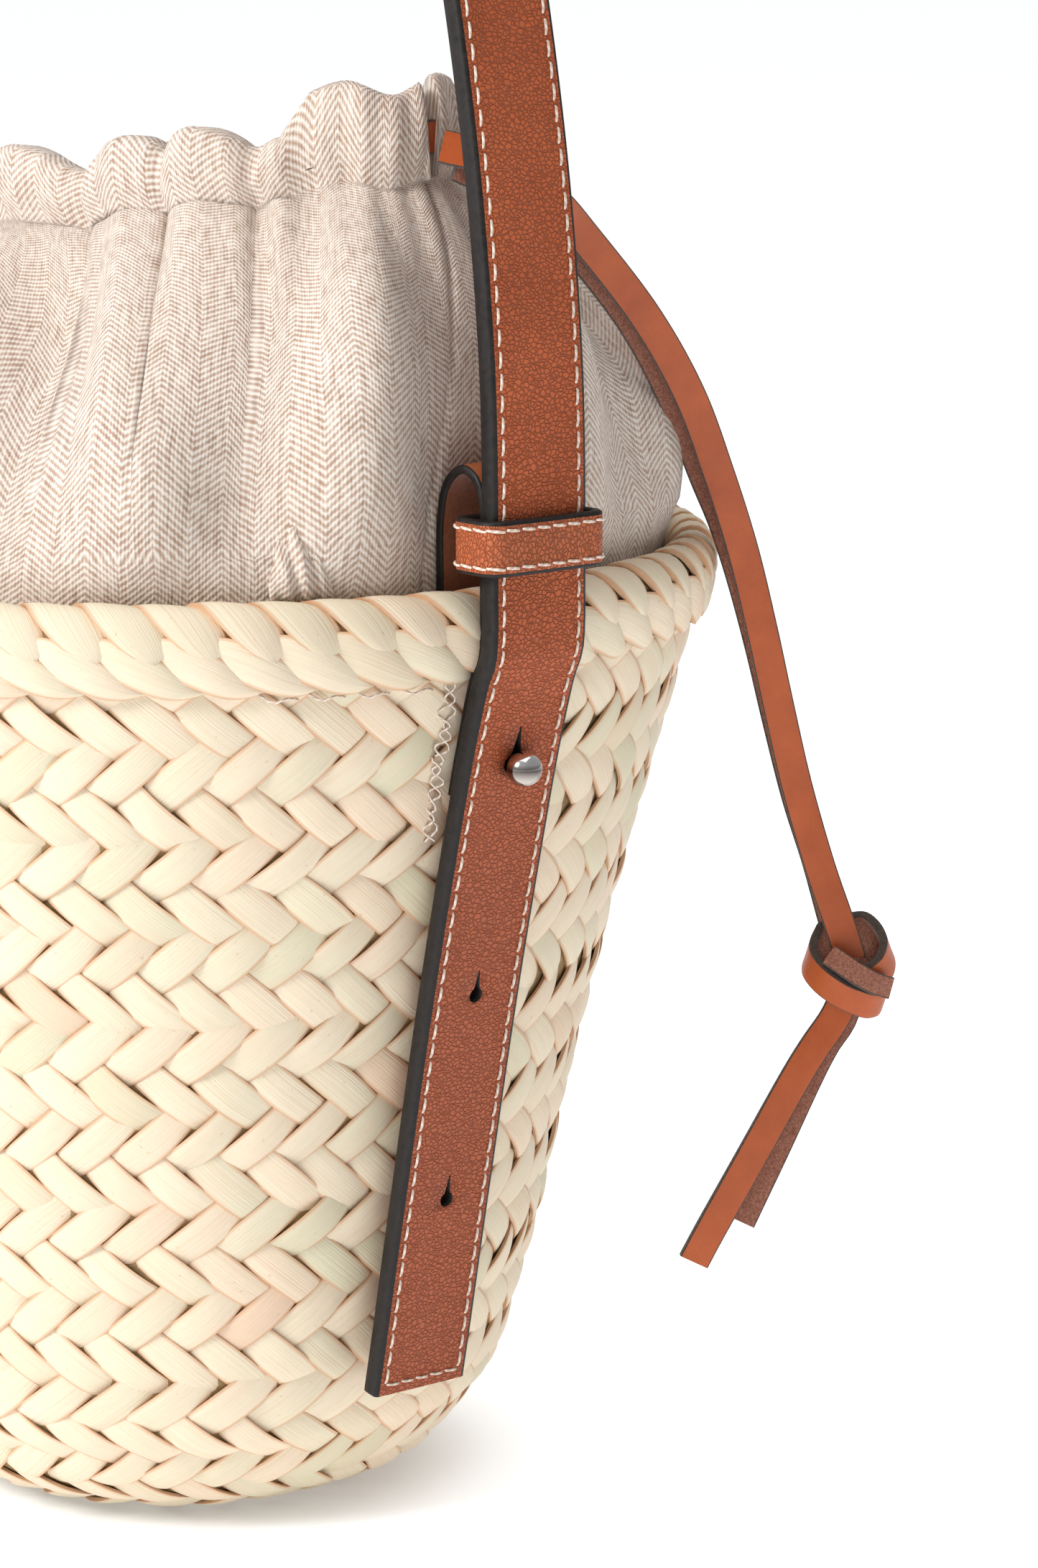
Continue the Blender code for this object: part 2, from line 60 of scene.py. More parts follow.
LENS, SENSOR = 123.0, 36.0  # millimetres
CAMERA_PLACE, CAMERA_TARGET = (0.9507, -0.7002, 0.3839), (0.0497, 0.0590, 0.1559)
LAMP_TARGET = (0.0, 0.0, 0.2)
LAMPS = (  # name, place, size and power
    ("key", (-0.15, -1.80, 1.25), 0.70, 37.5),
    ("over", (0.1, -0.2, 2.3), 2.2, 17.0),
)
FLOOR_HALF = 14.0
FLOOR_COLOUR = (0.83, 0.86, 0.90, 1)
FLOOR_GLOW_PAINTED_SHADOW = (0.046, 0.086, 0.22, 0.64)  # two distances from the middle, and the glow at each: the floor glows less near the bag, a painted shadow round its foot
SURROUND_DARKER = (0.86, 0.50, 0.10)  # the direction in which the surround is darker
SURROUND_SHADE = (0.0, 0.85, 0.44, 0.33)  # two shares of that direction, and the strength at each


def add_object(name, data):
    """Makes an object in the scene."""
    obj = bpy.data.objects.new(name, data)
    bpy.context.scene.collection.objects.link(obj)
    return obj


def aim(obj, place, target):
    """Puts a camera or lamp at a place and points it at another."""
    obj.location = place
    away = obj.location - Vector(target)
    obj.rotation_euler = away.to_track_quat("Z", "Y").to_euler()


def make_camera():
    """The camera, at the angle of view from the front right of the strap."""
    data = bpy.data.cameras.new("camera")
    data.lens = LENS
    data.sensor_width = SENSOR
    camera = add_object("camera", data)
    aim(camera, CAMERA_PLACE, CAMERA_TARGET)
    bpy.context.scene.camera = camera


def shade_by_place(tree, socket, coordinate, operation, limits, other=(0, 0, 0)):
    """Lets a strength go smoothly from one value to another by a measure of the place."""
    place = tree.nodes.new("ShaderNodeTexCoord")
    measure = tree.nodes.new("ShaderNodeVectorMath")
    measure.operation = operation
    measure.inputs[1].default_value = other
    shade = tree.nodes.new("ShaderNodeMapRange")
    shade.interpolation_type = "SMOOTHSTEP"
    for entry, number in zip(shade.inputs[1:5], limits):
        entry.default_value = number
    tree.links.new(place.outputs[coordinate], measure.inputs[0])
    tree.links.new(measure.outputs["Value"], shade.inputs[0])
    tree.links.new(shade.outputs[0], socket)


def make_studio():
    """A pale glowing floor whose glow is lower near the bag as a painted shadow, soft lamps and a pale
    surround.
    """
    mesh = bpy.data.meshes.new("floor")
    corners = [(FLOOR_HALF * x, FLOOR_HALF * y, 0) for x, y in ((-1, -1), (1, -1), (1, 1), (-1, 1))]
    mesh.from_pydata(corners, [], [(0, 1, 2, 3)])
    floor = add_object("floor", mesh)
    material = bpy.data.materials.new("floor")
    material.use_nodes = True
    sockets = material.node_tree.nodes["Principled BSDF"].inputs
    sockets["Base Color"].default_value = FLOOR_COLOUR
    sockets["Roughness"].default_value = 0.9
    sockets["Specular IOR Level"].default_value = 0.0
    sockets["Emission Color"].default_value = (1, 1, 1, 1)
    # the floor glows, and less near the bag: a painted shadow round its foot
    shade_by_place(material.node_tree, sockets["Emission Strength"], "Object", "LENGTH", FLOOR_GLOW_PAINTED_SHADOW)
    mesh.materials.append(material)

    world = bpy.data.worlds.new("surround")
    bpy.context.scene.world = world
    world.use_nodes = True
    background = world.node_tree.nodes["Background"].inputs
    background["Color"].default_value = (1.0, 1.0, 1.0, 1)
    shade_by_place(world.node_tree, background["Strength"], "Generated", "DOT_PRODUCT",
                   SURROUND_SHADE, SURROUND_DARKER)
    for name, place, size, power in LAMPS:
        data = bpy.data.lights.new(name, "AREA")
        data.size = size
        data.energy = power
        aim(add_object(name, data), place, LAMP_TARGET)
    bpy.context.scene.view_settings.view_transform = "Standard"


# ---------------------------------------------------------------- building blocks


def unit(vectors):
    """The same vectors at length one."""
    return vectors / np.maximum(np.linalg.norm(vectors, axis=-1, keepdims=True), 1e-12)


def directions(line, closed=False):
    """The unit direction of travel at each point of a line."""
    if closed:
        return unit(np.roll(line, -1, axis=0) - np.roll(line, 1, axis=0))
    return unit(np.gradient(line, axis=0))


def lengths(line):
    """The distance along a line at each of its points."""
    return np.concatenate([[0], np.cumsum(np.linalg.norm(np.diff(line, axis=0), axis=1))])


def read_at(marks, at, values):
    """The rows of values, known at the places `at`, read at the marks."""
    return np.stack([np.interp(marks, at, column) for column in values.T], axis=-1)


def smooth_line(points, spacing):
    """Points about one spacing apart along a Catmull-Rom curve through the given points."""
    points = np.array(points, float)
    ends = np.vstack([2 * points[0] - points[1], points, 2 * points[-1] - points[-2]])
    t = np.linspace(0, 1, 24, endpoint=False)[:, None]
    fine = []
    for a, b, c, d in zip(ends, ends[1:], ends[2:], ends[3:]):
        bend = 2 * a - 5 * b + 4 * c - d
        fine.append(0.5 * (2 * b + (c - a) * t + bend * t**2 + (3 * b - a - 3 * c + d) * t**3))
    fine = np.vstack(fine + [points[-1:]])
    along = lengths(fine)
    steps = max(2, round(along[-1] / spacing))
    return read_at(np.linspace(0, along[-1], steps + 1), along, fine)


def one_more(values):
    """The same values with one more at the end, an equal step on."""
    return np.append(values, 2 * values[-1] - values[-2])


def full_turn(count):
    """Evenly spaced angles once round."""
    return np.linspace(0, 2 * math.pi, count, endpoint=False)


def polar(radius, turn, height):
    """Points at a radius, an angle and a height."""
    return np.stack(np.broadcast_arrays(radius * np.cos(turn), radius * np.sin(turn), height), axis=-1)


def uv_grid(rows, columns):
    """Texture coordinates for a grid, from the places of its rows and columns."""
    return np.stack(np.meshgrid(rows, columns, indexing="ij"), axis=-1)


class Shell:
    """Grids of points collected into one mesh, with texture coordinates and a tint for each grid."""

    def __init__(self):
        self.points = []
        self.faces = []
        self.uvs = []
        self.tints = []
        self.slots = []
        self.count = 0

    def grids(self, points, uvs, tints=0.5, slots=0, close_rows=False, close_columns=True, caps=None):
        """Adds grids of shape (grids, rows, columns, 3), with one more row or column of uvs where closed.

        `slots` is the material of each column of faces, and `caps` that of the two end faces.
        """
        grids, rows, columns = points.shape[:3]
        inside_out = self.volumes(points) < 0
        points = points.copy()
        uvs = np.array(np.broadcast_to(uvs, (grids,) + uvs.shape[1:]))
        points[inside_out] = points[inside_out, ::-1]
        uvs[inside_out] = uvs[inside_out, ::-1]
        i = np.arange(rows if close_rows else rows - 1)
        j = np.arange(columns if close_columns else columns - 1)
        i, j = (index.ravel() for index in np.meshgrid(i, j, indexing="ij"))
        after_i, after_j = (i + 1) % rows, (j + 1) % columns
        quads = np.stack([i * columns + j, after_i * columns + j,
                          after_i * columns + after_j, i * columns + after_j], axis=1)
        base = self.count + np.arange(grids) * rows * columns
        self.faces.append((base[:, None, None] + quads[None]).reshape(-1, 4))
        spots = [(i, j), (i + 1, j), (i + 1, j + 1), (i, j + 1)]
        corner = np.stack([uvs[:, a, b] for a, b in spots], axis=2)
        self.uvs.append(corner.reshape(-1, 2))
        slots = np.broadcast_to(np.asarray(slots), (columns,))
        self.slots.append(np.tile(slots[j], grids))
        self.tints.append(np.repeat(np.broadcast_to(tints, (grids,)), rows * columns))
        self.points.append(points.reshape(-1, 3))
        if caps is not None:
            order = np.arange(columns)
            for row, turn in ((0, order), (rows - 1, order[::-1])):
                self.faces.append(base[:, None] + row * columns + turn[None])
                self.uvs.append(uvs[:, row, turn].reshape(-1, 2))
                self.slots.append(np.full(grids, caps))
        self.count += grids * rows * columns

    @staticmethod
    def volumes(points):
        """Six times the volume inside each grid, negative where it is inside out."""
        p = points - points.mean(axis=(1, 2), keepdims=True)
        ahead, around = np.roll(p, -1, axis=1)[:, :-1], np.roll(p, -1, axis=2)
        corner = np.roll(around, -1, axis=1)[:, :-1]
        here, around = p[:, :-1], around[:, :-1]
        wedge = np.cross(ahead, corner) * here + np.cross(corner, around) * here
        return wedge.sum(axis=(1, 2, 3))

    def finish(self, name, materials, crease=None):
        """Makes the object, with sharp edges over an angle of `crease` degrees."""
        mesh = bpy.data.meshes.new(name)
        points = np.vstack(self.points)
        sizes = np.concatenate([np.full(len(f), f.shape[1]) for f in self.faces])
        loops = np.concatenate([f.ravel() for f in self.faces])
        mesh.vertices.add(len(points))
        mesh.vertices.foreach_set("co", points.ravel())
        mesh.loops.add(len(loops))
        mesh.loops.foreach_set("vertex_index", loops.astype(np.int32))
        mesh.polygons.add(len(sizes))
        starts = np.concatenate([[0], np.cumsum(sizes)[:-1]])
        mesh.polygons.foreach_set("loop_start", starts.astype(np.int32))
        mesh.polygons.foreach_set("material_index", np.concatenate(self.slots).astype(np.int32))
        mesh.update(calc_edges=True)
        layer = mesh.uv_layers.new(name="cloth")
        layer.data.foreach_set("uv", np.vstack(self.uvs).ravel())
        tint = mesh.attributes.new("tint", "FLOAT", "POINT")
        tint.data.foreach_set("value", np.concatenate(self.tints).astype(np.float32))
        for material in materials:
            mesh.materials.append(material)
        mesh.polygons.foreach_set("use_smooth", np.ones(len(sizes), bool))
        if crease is not None:
            mesh.set_sharp_from_angle(angle=math.radians(crease))
        mesh.validate()
        return add_object(name, mesh)


def grid_piece(name, material, grid, uvs, **how):
    """A piece made of one grid, added as `how` says."""
    shell = Shell()
    shell.grids(grid[None], uvs[None], **how)
    return shell.finish(name, [material])


def flat_section(width, thickness, groove=0.0, soft=1.0 * MM):
    """A strip's cross-section, once round, as rows of (sideways, out of its face, which surface).

    The surfaces are 0 for the face, 1 for the painted edge and 2 for the back.
    """
    half = width / 2
    bevel = min(soft, thickness * 0.3)
    rows = [(0.0, 0.0, 0), (half * 0.5, 0.0, 0)]
    if groove:
        inset = half - groove
        rows += [(inset - 0.8 * MM, 0.0, 0), (inset, -0.16 * MM, 0), (inset + 0.8 * MM, 0.0, 0)]
    rows += [
        (half - 1.1 * bevel, -0.02 * MM, 0),
        (half - 0.45 * bevel, -0.2 * bevel, 1),
        (half - 0.1 * bevel, -0.7 * bevel, 1),
        (half, -thickness / 2, 1),
        (half - 0.1 * bevel, -thickness + 0.7 * bevel, 1),
        (half - 0.45 * bevel, -thickness + 0.2 * bevel, 1),
        (half - 1.1 * bevel, -thickness, 2),
        (half * 0.5, -thickness, 2),
        (0.0, -thickness, 2),
    ]
    other = [(-sideways, height, kind) for sideways, height, kind in reversed(rows[1:-1])]
    return rows + other


def sweep_strip(shell, line, sideways, out, section, closed=False):
    """Adds a strip that follows a line, with its face on the side that `out` points to."""
    side, lift, kinds = np.array(section).T
    kinds = kinds.astype(int)
    slots = np.where((kinds == 1) | (np.roll(kinds, -1) == 1), 1, kinds)
    points = line[:, None] + sideways[:, None] * side[None, :, None] + out[:, None] * lift[None, :, None]
    along = lengths(line)
    if closed:
        along = np.append(along, along[-1] + np.linalg.norm(line[0] - line[-1]))
    uvs = uv_grid(along, np.append(side, side[0]))
    shell.grids(points[None], uvs[None], slots=slots, close_rows=closed, caps=None if closed else 1)


def strip_piece(name, materials, *strip, closed=False):
    """A piece made of one strip."""
    shell = Shell()
    sweep_strip(shell, *strip, closed=closed)
    return shell.finish(name, materials, crease=50)


STITCH_LENGTH, STITCH_RADIUS = 3.95 * MM, 0.33 * MM
STITCH_SLANT = 0.08  # sideways for each step ahead


def stitch_run(line, sideways, out, offset, pitch, lift, first=0.0):
    """Places for stitches along a line: their middles and their three directions."""
    at = lengths(line)
    count = max(1, int((at[-1] - first) / pitch))
    marks = first + (np.arange(count) + 0.5) * (at[-1] - first) / count
    side, up = unit(read_at(marks, at, sideways)), unit(read_at(marks, at, out))
    ahead = unit(np.cross(up, side))
    middle = read_at(marks, at, line) + side * offset + up * lift
    return middle, unit(ahead + side * STITCH_SLANT), side, up


def add_stitches(shell, places):
    """Adds threads that rise out of the leather and dip back into it."""
    middle, ahead, side, up = places
    t = np.linspace(-1, 1, 9)
    arc = 0.26 * MM * np.cos(t * math.pi / 2) ** 0.5 - 0.50 * MM * np.abs(t) ** 6
    thin = STITCH_RADIUS * (1 - 0.35 * np.abs(t) ** 3)
    turn = full_turn(6)
    centre = (middle[:, None] + ahead[:, None] * (t * STITCH_LENGTH / 2)[None, :, None]
              + up[:, None] * arc[None, :, None])
    ring = (side[:, None, None] * (np.cos(turn)[None, None] * thin[None, :, None])[..., None]
            + up[:, None, None] * (np.sin(turn)[None, None] * thin[None, :, None])[..., None])
    points = centre[:, :, None] + ring
    uvs = uv_grid(t * STITCH_LENGTH / 2, np.linspace(0, 2 * math.pi * STITCH_RADIUS, 7))
    shell.grids(points[:, :, ::-1], uvs[None], tints=rng.random(len(middle)), caps=0)


# ---------------------------------------------------------------- materials


class Nodes:
    """A small helper that writes a material's node tree."""

    def __init__(self, name):
        self.material = bpy.data.materials.new(name)
        self.material.use_nodes = True
        self.tree = self.material.node_tree
        self.shader = self.tree.nodes["Principled BSDF"]

    def feed(self, socket, value):
        """Connects a socket or sets its value."""
        if isinstance(value, bpy.types.NodeSocket):
            self.tree.links.new(value, socket)
        elif isinstance(value, tuple) and len(value) == 3 and socket.type == "RGBA":
            socket.default_value = (*value, 1)
        else:
            socket.default_value = value

    def add(self, kind, inputs, **settings):
        """Adds a node with its settings and its inputs, by name or number, and gives its outputs."""
        node = self.tree.nodes.new("ShaderNode" + kind)
        for name, value in settings.items():
            setattr(node, name, value)
        for key, value in inputs.items():
            self.feed(node.inputs[key], value)
        return node.outputs

    def math(self, operation, a, b=0.0):
        """One arithmetic node."""
        return self.add("Math", {0: a, 1: b}, operation=operation)[0]

    def times(self, a, b):
        """One value times another."""
        return self.math("MULTIPLY", a, b)

    def plus(self, a, b):
        """One value plus another."""
        return self.math("ADD", a, b)

    def sway(self, noise, size):
        """Noise moved to lie about zero, at a size."""
        return self.times(self.math("SUBTRACT", noise, 0.5), size)

    def parts(self, vector):
        """The three parts of a vector."""
        return self.add("SeparateXYZ", {0: vector})

    def uv(self):
        """The texture coordinates as (u, v)."""
        return tuple(self.parts(self.add("UVMap", {}, uv_map="cloth")[0]))[:2]

    def tint(self):
        """The tint of each grid, from 0 to 1."""
        return self.add("Attribute", {}, attribute_name="tint")["Fac"]

    def place(self):
        """The position on the object."""
        return self.add("TexCoord", {})["Object"]

    def vector(self, x, y, z=0.0):
        """A vector from three values."""
        return self.add("CombineXYZ", {0: x, 1: y, 2: z})[0]

    def noise(self, at, scale, detail, rough, distortion=0.0):
        """Smooth noise from 0 to 1."""
        return self.add("TexNoise", {"Vector": at, "Scale": scale, "Detail": detail,
                                     "Roughness": rough, "Distortion": distortion})[0]

    def streaks(self, uv, by_u, by_v, detail, rough, shift=0.0):
        """Noise stretched along one of the two texture coordinates."""
        at = self.vector(self.times(uv[0], by_u), self.times(uv[1], by_v), shift)
        return self.noise(at, 1.0, detail, rough)

    def cell_edges(self, at, scale):
        """The distance to the nearest edge of a pattern of cells."""
        return self.add("TexVoronoi", {"Vector": at, "Scale": scale}, feature="DISTANCE_TO_EDGE")[0]

    def span(self, value, low, high, to_low=0.0, to_high=1.0):
        """Moves a value from one range to another, clamped."""
        return self.add("MapRange", {0: value, 1: low, 2: high, 3: to_low, 4: to_high})[0]

    def ramp(self, value, *stops):
        """A colour ramp through (position, colour code) stops."""
        output = self.add("ValToRGB", {0: value})[0]
        marks = output.node.color_ramp.elements
        while len(marks) < len(stops):
            marks.new(0.5)
        for mark, (position, code) in zip(marks, stops):
            mark.position = position
            mark.color = (*srgb(code), 1)
        return output

    def mix(self, share, a, b):
        """Mixes two colours."""
        return self.add("Mix", {0: share, 6: a, 7: b}, data_type="RGBA")[2]

    def bump(self, height, distance, strength, **under):
        """A bump from a height, on top of another given as Normal."""
        return self.add("Bump", {"Distance": distance, "Strength": strength, "Height": height, **under})[0]

    def done(self, **values):
        """Sets the shader's inputs, with _ for a space in each name, and gives the material."""
        for name, value in values.items():
            self.feed(self.shader.inputs[name.replace("_", " ")], value)
        return self.material


def srgb(code):
    """A colour from its usual hexadecimal code, as linear light."""
    parts = [int(code[k : k + 2], 16) / 255 for k in (0, 2, 4)]
    return tuple(((c + 0.055) / 1.055) ** 2.4 if c > 0.04 else c / 12.92 for c in parts)


def deeper(colour, share):
    """A darker shade of a colour."""
    return tuple(c * share for c in colour)


def palm_material():
    """Dried palm leaf: pale straw with fine fibres, pinkish edges and a soft gloss."""
    m = Nodes("palm_leaf")
    u, v = m.uv()
    tint = m.tint()
    leaf = m.ramp(tint, (0.0, "D8CFB2"), (0.22, "E1D4B9"), (0.5, "E7D7BD"),
                  (0.72, "E8D2B8"), (0.88, "D6CCAE"), (1.0, "E4C7AC"))
    shift = m.times(tint, 90.0)
    fibre = m.streaks((u, v), 25.0, 9.0, 4, 0.65, shift)
    broad = m.streaks((u, v), 70.0, 1.2, 2, 0.5, shift)
    ridges = m.streaks((u, v), 12.0, 14.0, 2, 0.5, shift)
    colour = m.mix(m.times(m.span(fibre, 0.52, 0.78), 0.45), leaf, srgb("D2BC90"))
    colour = m.mix(m.span(broad, 0.48, 0.75, 0.0, 0.38), colour, srgb("E5C8AE"))
    edge = m.math("ABSOLUTE", v)
    colour = m.mix(m.span(edge, 0.80, 0.97, 0.0, 0.72), colour, srgb("CC9468"))
    colour = m.mix(m.span(edge, 1.05, 1.2, 0.0, 0.8), colour, srgb("B98B55"))
    specks = m.span(m.noise(m.place(), 900.0, 1, 0.4), 0.74, 0.80, 0.0, 0.4)
    colour = m.mix(specks, colour, srgb("C69C62"))
    normal = m.bump(ridges, 0.22 * MM, 0.8)
    normal = m.bump(fibre, 0.05 * MM, 0.7, Normal=normal)
    rough = m.span(fibre, 0.3, 0.7, 0.46, 0.60)
    return m.done(Base_Color=colour, Roughness=rough, Normal=normal, Specular_IOR_Level=0.30)


def painted_shade_palm_material():
    """Palm darkened as painted shade, seen in the gaps of the plait."""
    # painted shade: a dark palm colour for the gaps and crevices
    m = Nodes("painted_shade_palm")
    fine = m.noise(m.place(), 420.0, 4, 0.6)
    colour = m.mix(m.span(fine, 0.3, 0.7), srgb("7C6240"), srgb("A88D62"))
    return m.done(Base_Color=colour, Roughness=0.7, Normal=m.bump(fine, 0.4 * MM, 0.8))


STRIPE = 7.0 * MM  # width of one stripe of the herringbone
STRIPE_RISE = STRIPE * 0.78  # how far its diagonal lines climb across a stripe
CHEVRON = 1.45 * MM  # height of one diagonal line of it
YARN = 0.72 * MM


def linen_material(name):
    """Natural linen in herringbone: cream yarn over a pinkish brown one."""
    m = Nodes(name)
    u, v = m.uv()
    wobble = m.noise(m.vector(u, v), 60.0, 2, 0.5)
    u = m.plus(u, m.sway(wobble, 1.2 * MM))
    swing = m.math("PINGPONG", m.math("DIVIDE", u, STRIPE), 1.0)
    line = m.math("DIVIDE", m.plus(v, m.times(swing, STRIPE_RISE)), CHEVRON)
    diagonal = m.math("PINGPONG", m.times(line, 2.0), 1.0)
    column = m.math("PINGPONG", m.times(m.math("DIVIDE", u, YARN), 2.0), 1.0)
    slub = m.streaks((u, v), 900.0, 160.0, 2, 0.6)
    slub_across = m.streaks((u, v), 200.0, 1300.0, 2, 0.6)
    weave = m.plus(m.times(diagonal, 0.70), m.times(column, 0.30))
    weave = m.plus(weave, m.sway(slub, 0.75))
    weave = m.plus(weave, m.sway(slub_across, 0.55))
    broad = m.noise(m.place(), 26.0, 3, 0.5)
    yarn = m.mix(m.span(broad, 0.35, 0.65), srgb("DDD3C7"), srgb("E5DCD2"))
    ground = m.mix(m.span(slub, 0.3, 0.7), srgb("A0826E"), srgb("BDA391"))
    colour = m.mix(m.span(weave, 0.20, 0.80), ground, yarn)
    return m.done(Base_Color=colour, Roughness=0.92, Normal=m.bump(weave, 0.30 * MM, 0.75),
                  Sheen_Weight=0.25, Sheen_Roughness=0.5, Specular_IOR_Level=0.2)


def grained_leather(name, dark, light):
    """Grained cow leather with small pebbles and creases, darker in its lower part."""
    m = Nodes(name)
    u, v = m.uv()
    at = m.vector(u, v)
    push = m.sway(m.noise(at, 600.0, 2, 0.5), 0.7 * MM)
    bent = m.vector(m.plus(m.times(u, 1.25), push), m.plus(v, push))
    creases = m.span(m.cell_edges(bent, 860.0), 0.0, 0.16)
    small = m.noise(at, 2600.0, 3, 0.6)
    broad = m.noise(at, 45.0, 4, 0.55)
    colour = m.mix(m.span(broad, 0.3, 0.7), dark, light)
    lower_tone = tuple(c * k for c, k in zip(dark, (0.86, 1.0, 1.45)))
    # the colour turns darker and less red below a height
    colour = m.mix(m.span(m.parts(m.place())[2], 0.22, 0.15, 0.0, 0.75), colour, lower_tone)
    colour = m.mix(m.span(creases, 0.0, 1.0, 0.72, 0.0), colour, deeper(dark, 0.50))
    height = m.plus(m.times(creases, 0.8), m.times(small, 0.3))
    soft = m.bump(broad, 0.5 * MM, 0.25)
    normal = m.bump(height, 0.42 * MM, 0.8, Normal=soft)
    rough = m.span(small, 0.3, 0.7, 0.46, 0.60)
    return m.done(Base_Color=colour, Roughness=rough, Normal=normal, Specular_IOR_Level=0.30)


def smooth_leather(name, dark, light, rough):
    """Smooth vegetable-tanned leather with fine pores."""
    m = Nodes(name)
    at = m.place()
    broad = m.noise(at, 70.0, 4, 0.6)
    pores = m.noise(at, 3200.0, 2, 0.6)
    fine = m.noise(at, 900.0, 3, 0.6)
    colour = m.mix(m.span(broad, 0.3, 0.7), dark, light)
    colour = m.mix(m.span(pores, 0.55, 0.75, 0.0, 0.35), colour, deeper(dark, 0.55))
    normal = m.bump(fine, 0.07 * MM, 0.6)
    normal = m.bump(pores, 0.03 * MM, 0.6, Normal=normal)
    rough = m.span(fine, 0.3, 0.7, rough, rough + 0.10)
    return m.done(Base_Color=colour, Roughness=rough, Normal=normal, Specular_IOR_Level=0.36)


def suede_material(name, dark, light):
    """The fibrous flesh side of leather."""
    m = Nodes(name)
    at = m.place()
    nap = m.noise(at, 2100.0, 4, 0.75)
    tufts = m.noise(at, 600.0, 3, 0.6, distortion=1.5)
    colour = m.mix(m.span(nap, 0.3, 0.7), dark, light)
    colour = m.mix(m.span(tufts, 0.4, 0.75, 0.0, 0.5), colour, deeper(dark, 0.7))
    normal = m.bump(m.plus(nap, m.times(tufts, 0.8)), 0.30 * MM, 0.9)
    return m.done(Base_Color=colour, Roughness=0.95, Normal=normal,
                  Sheen_Weight=0.3, Specular_IOR_Level=0.15)


def edge_material():
    """Black edge paint, slightly uneven."""
    m = Nodes("edge_paint")
    fine = m.noise(m.place(), 700.0, 3, 0.6)
    colour = m.mix(m.span(fine, 0.3, 0.7), srgb("161312"), srgb("272220"))
    return m.done(Base_Color=colour, Roughness=m.span(fine, 0.3, 0.7, 0.40, 0.6),
                  Normal=m.bump(fine, 0.10 * MM, 0.7), Specular_IOR_Level=0.25)


def thread_material():
    """Waxed cream thread, twisted from three plies, darker in the grooves between them as painted shade."""
    m = Nodes("waxed_thread")
    u, v = m.uv()
    ply = m.math("PINGPONG", m.plus(m.times(u, 1150.0), m.times(v, 900.0)), 1.0)
    # painted shade: the colour darkens in the grooves between the plies
    colour = m.mix(ply, srgb("C9B09C"), srgb("EFE2D4"))
    return m.done(Base_Color=colour, Roughness=0.6, Normal=m.bump(ply, 0.10 * MM, 0.8))


def steel_material():
    """Polished silver-coloured metal, with a painted reflection that makes it darker where it faces
    sideways.
    """
    m = Nodes("polished_steel")
    fine = m.noise(m.place(), 800.0, 2, 0.5)
    facing = m.tree.nodes.new("ShaderNodeNewGeometry").outputs["Normal"]
    # painted reflection of a horizon: a band of colour set by which way the surface faces
    painted_reflection = m.ramp(m.span(m.parts(facing)[2], -0.6, 0.9),
                  (0.0, "B9B2AA"), (0.22, "8D857F"), (0.40, "4E4844"),
                  (0.52, "A5A09C"), (0.64, "DEDDDB"), (1.0, "E4E4E4"))
    return m.done(Base_Color=painted_reflection, Metallic=1.0, Roughness=m.span(fine, 0.3, 0.7, 0.10, 0.17))


# ---------------------------------------------------------------- basket

PLAIT_RUN = (  # the middle of the plait as (radius, height), from under the base up to the rim
    (0.0040, 0.0026), (0.0250, 0.0024), (0.0400, 0.0023), (0.0490, 0.0042), (0.0560, 0.0080),
    (0.0615, 0.0130), (0.0668, 0.0200), (0.0729, 0.0300), (0.0812, 0.0600), (0.0878, 0.0900),
    (0.0948, 0.1200), (0.1028, 0.1500), (0.1112, 0.1800), (0.1163, 0.2000), (0.1166, 0.2070),
)
ROW_PITCH = 10.7 * MM
LEAF_PITCH = 11.8 * MM
LEAF_REACH = 1.42  # half a leaf's length, in row pitches
BAND_ROWS = 4  # rows that share one count of leaves
BASE_REACH = 60 * MM  # distance up to which each row of the base has its own count
TOP_ROW = 7.3 * MM  # from the plait's top edge down to the middle of its top row
RING_STEPS = 96  # points once round the palm behind the leaves


class PlaitSurface:
    """The plait's middle surface, by angle and distance up from the middle of the base."""

    def __init__(self):
        self.run = smooth_line(PLAIT_RUN, 0.5 * MM)
        self.at = lengths(self.run)
        ahead = directions(self.run)
        self.out = np.stack([ahead[:, 1], -ahead[:, 0]], axis=1)
        self.top = self.at[-1]

    def radius(self, s):
        """The radius at a distance up the plait."""
        return np.interp(s, self.at, self.run[:, 0])

    def point(self, turn, s, lift):
        """Points that stand off the surface by a lift."""
        radius, height = np.moveaxis(read_at(s, self.at, self.run), -1, 0)
        out_r, out_z = np.moveaxis(read_at(s, self.at, self.out), -1, 0)
        return polar(radius + out_r * lift, turn, height + out_z * lift)


def plait_rows(surface):
    """The middle of every leaf as turn, distance up, pitch in turn and lean, row by row."""
    leaves = []
    row = 0
    s = surface.top - TOP_ROW
    count, phase = 0, 0.0
    while s > 8 * MM:
        if row % BAND_ROWS == 0 or s < BASE_REACH:
            middle = surface.radius(max(s - ROW_PITCH * (1.5 if s > BASE_REACH else 0), 1 * MM))
            count = max(5, round(2 * math.pi * middle / LEAF_PITCH))
            phase = rng.random() * 2 * math.pi / count
        pitch = 2 * math.pi / count
        lean = 1.0 if row % 2 == 0 else -1.0
        for k in range(count):
            leaves.append((phase + pitch * (k + 0.5 * (row % 2)), s, pitch, lean))
        s -= ROW_PITCH
        row += 1
    return np.array(leaves)


def leaf_section(under):
    """A leaf's cross-section from edge to edge and back underneath, and which points are on top."""
    return np.concatenate([np.linspace(-1, 1, 7), [under, -under]]), np.arange(9) < 7


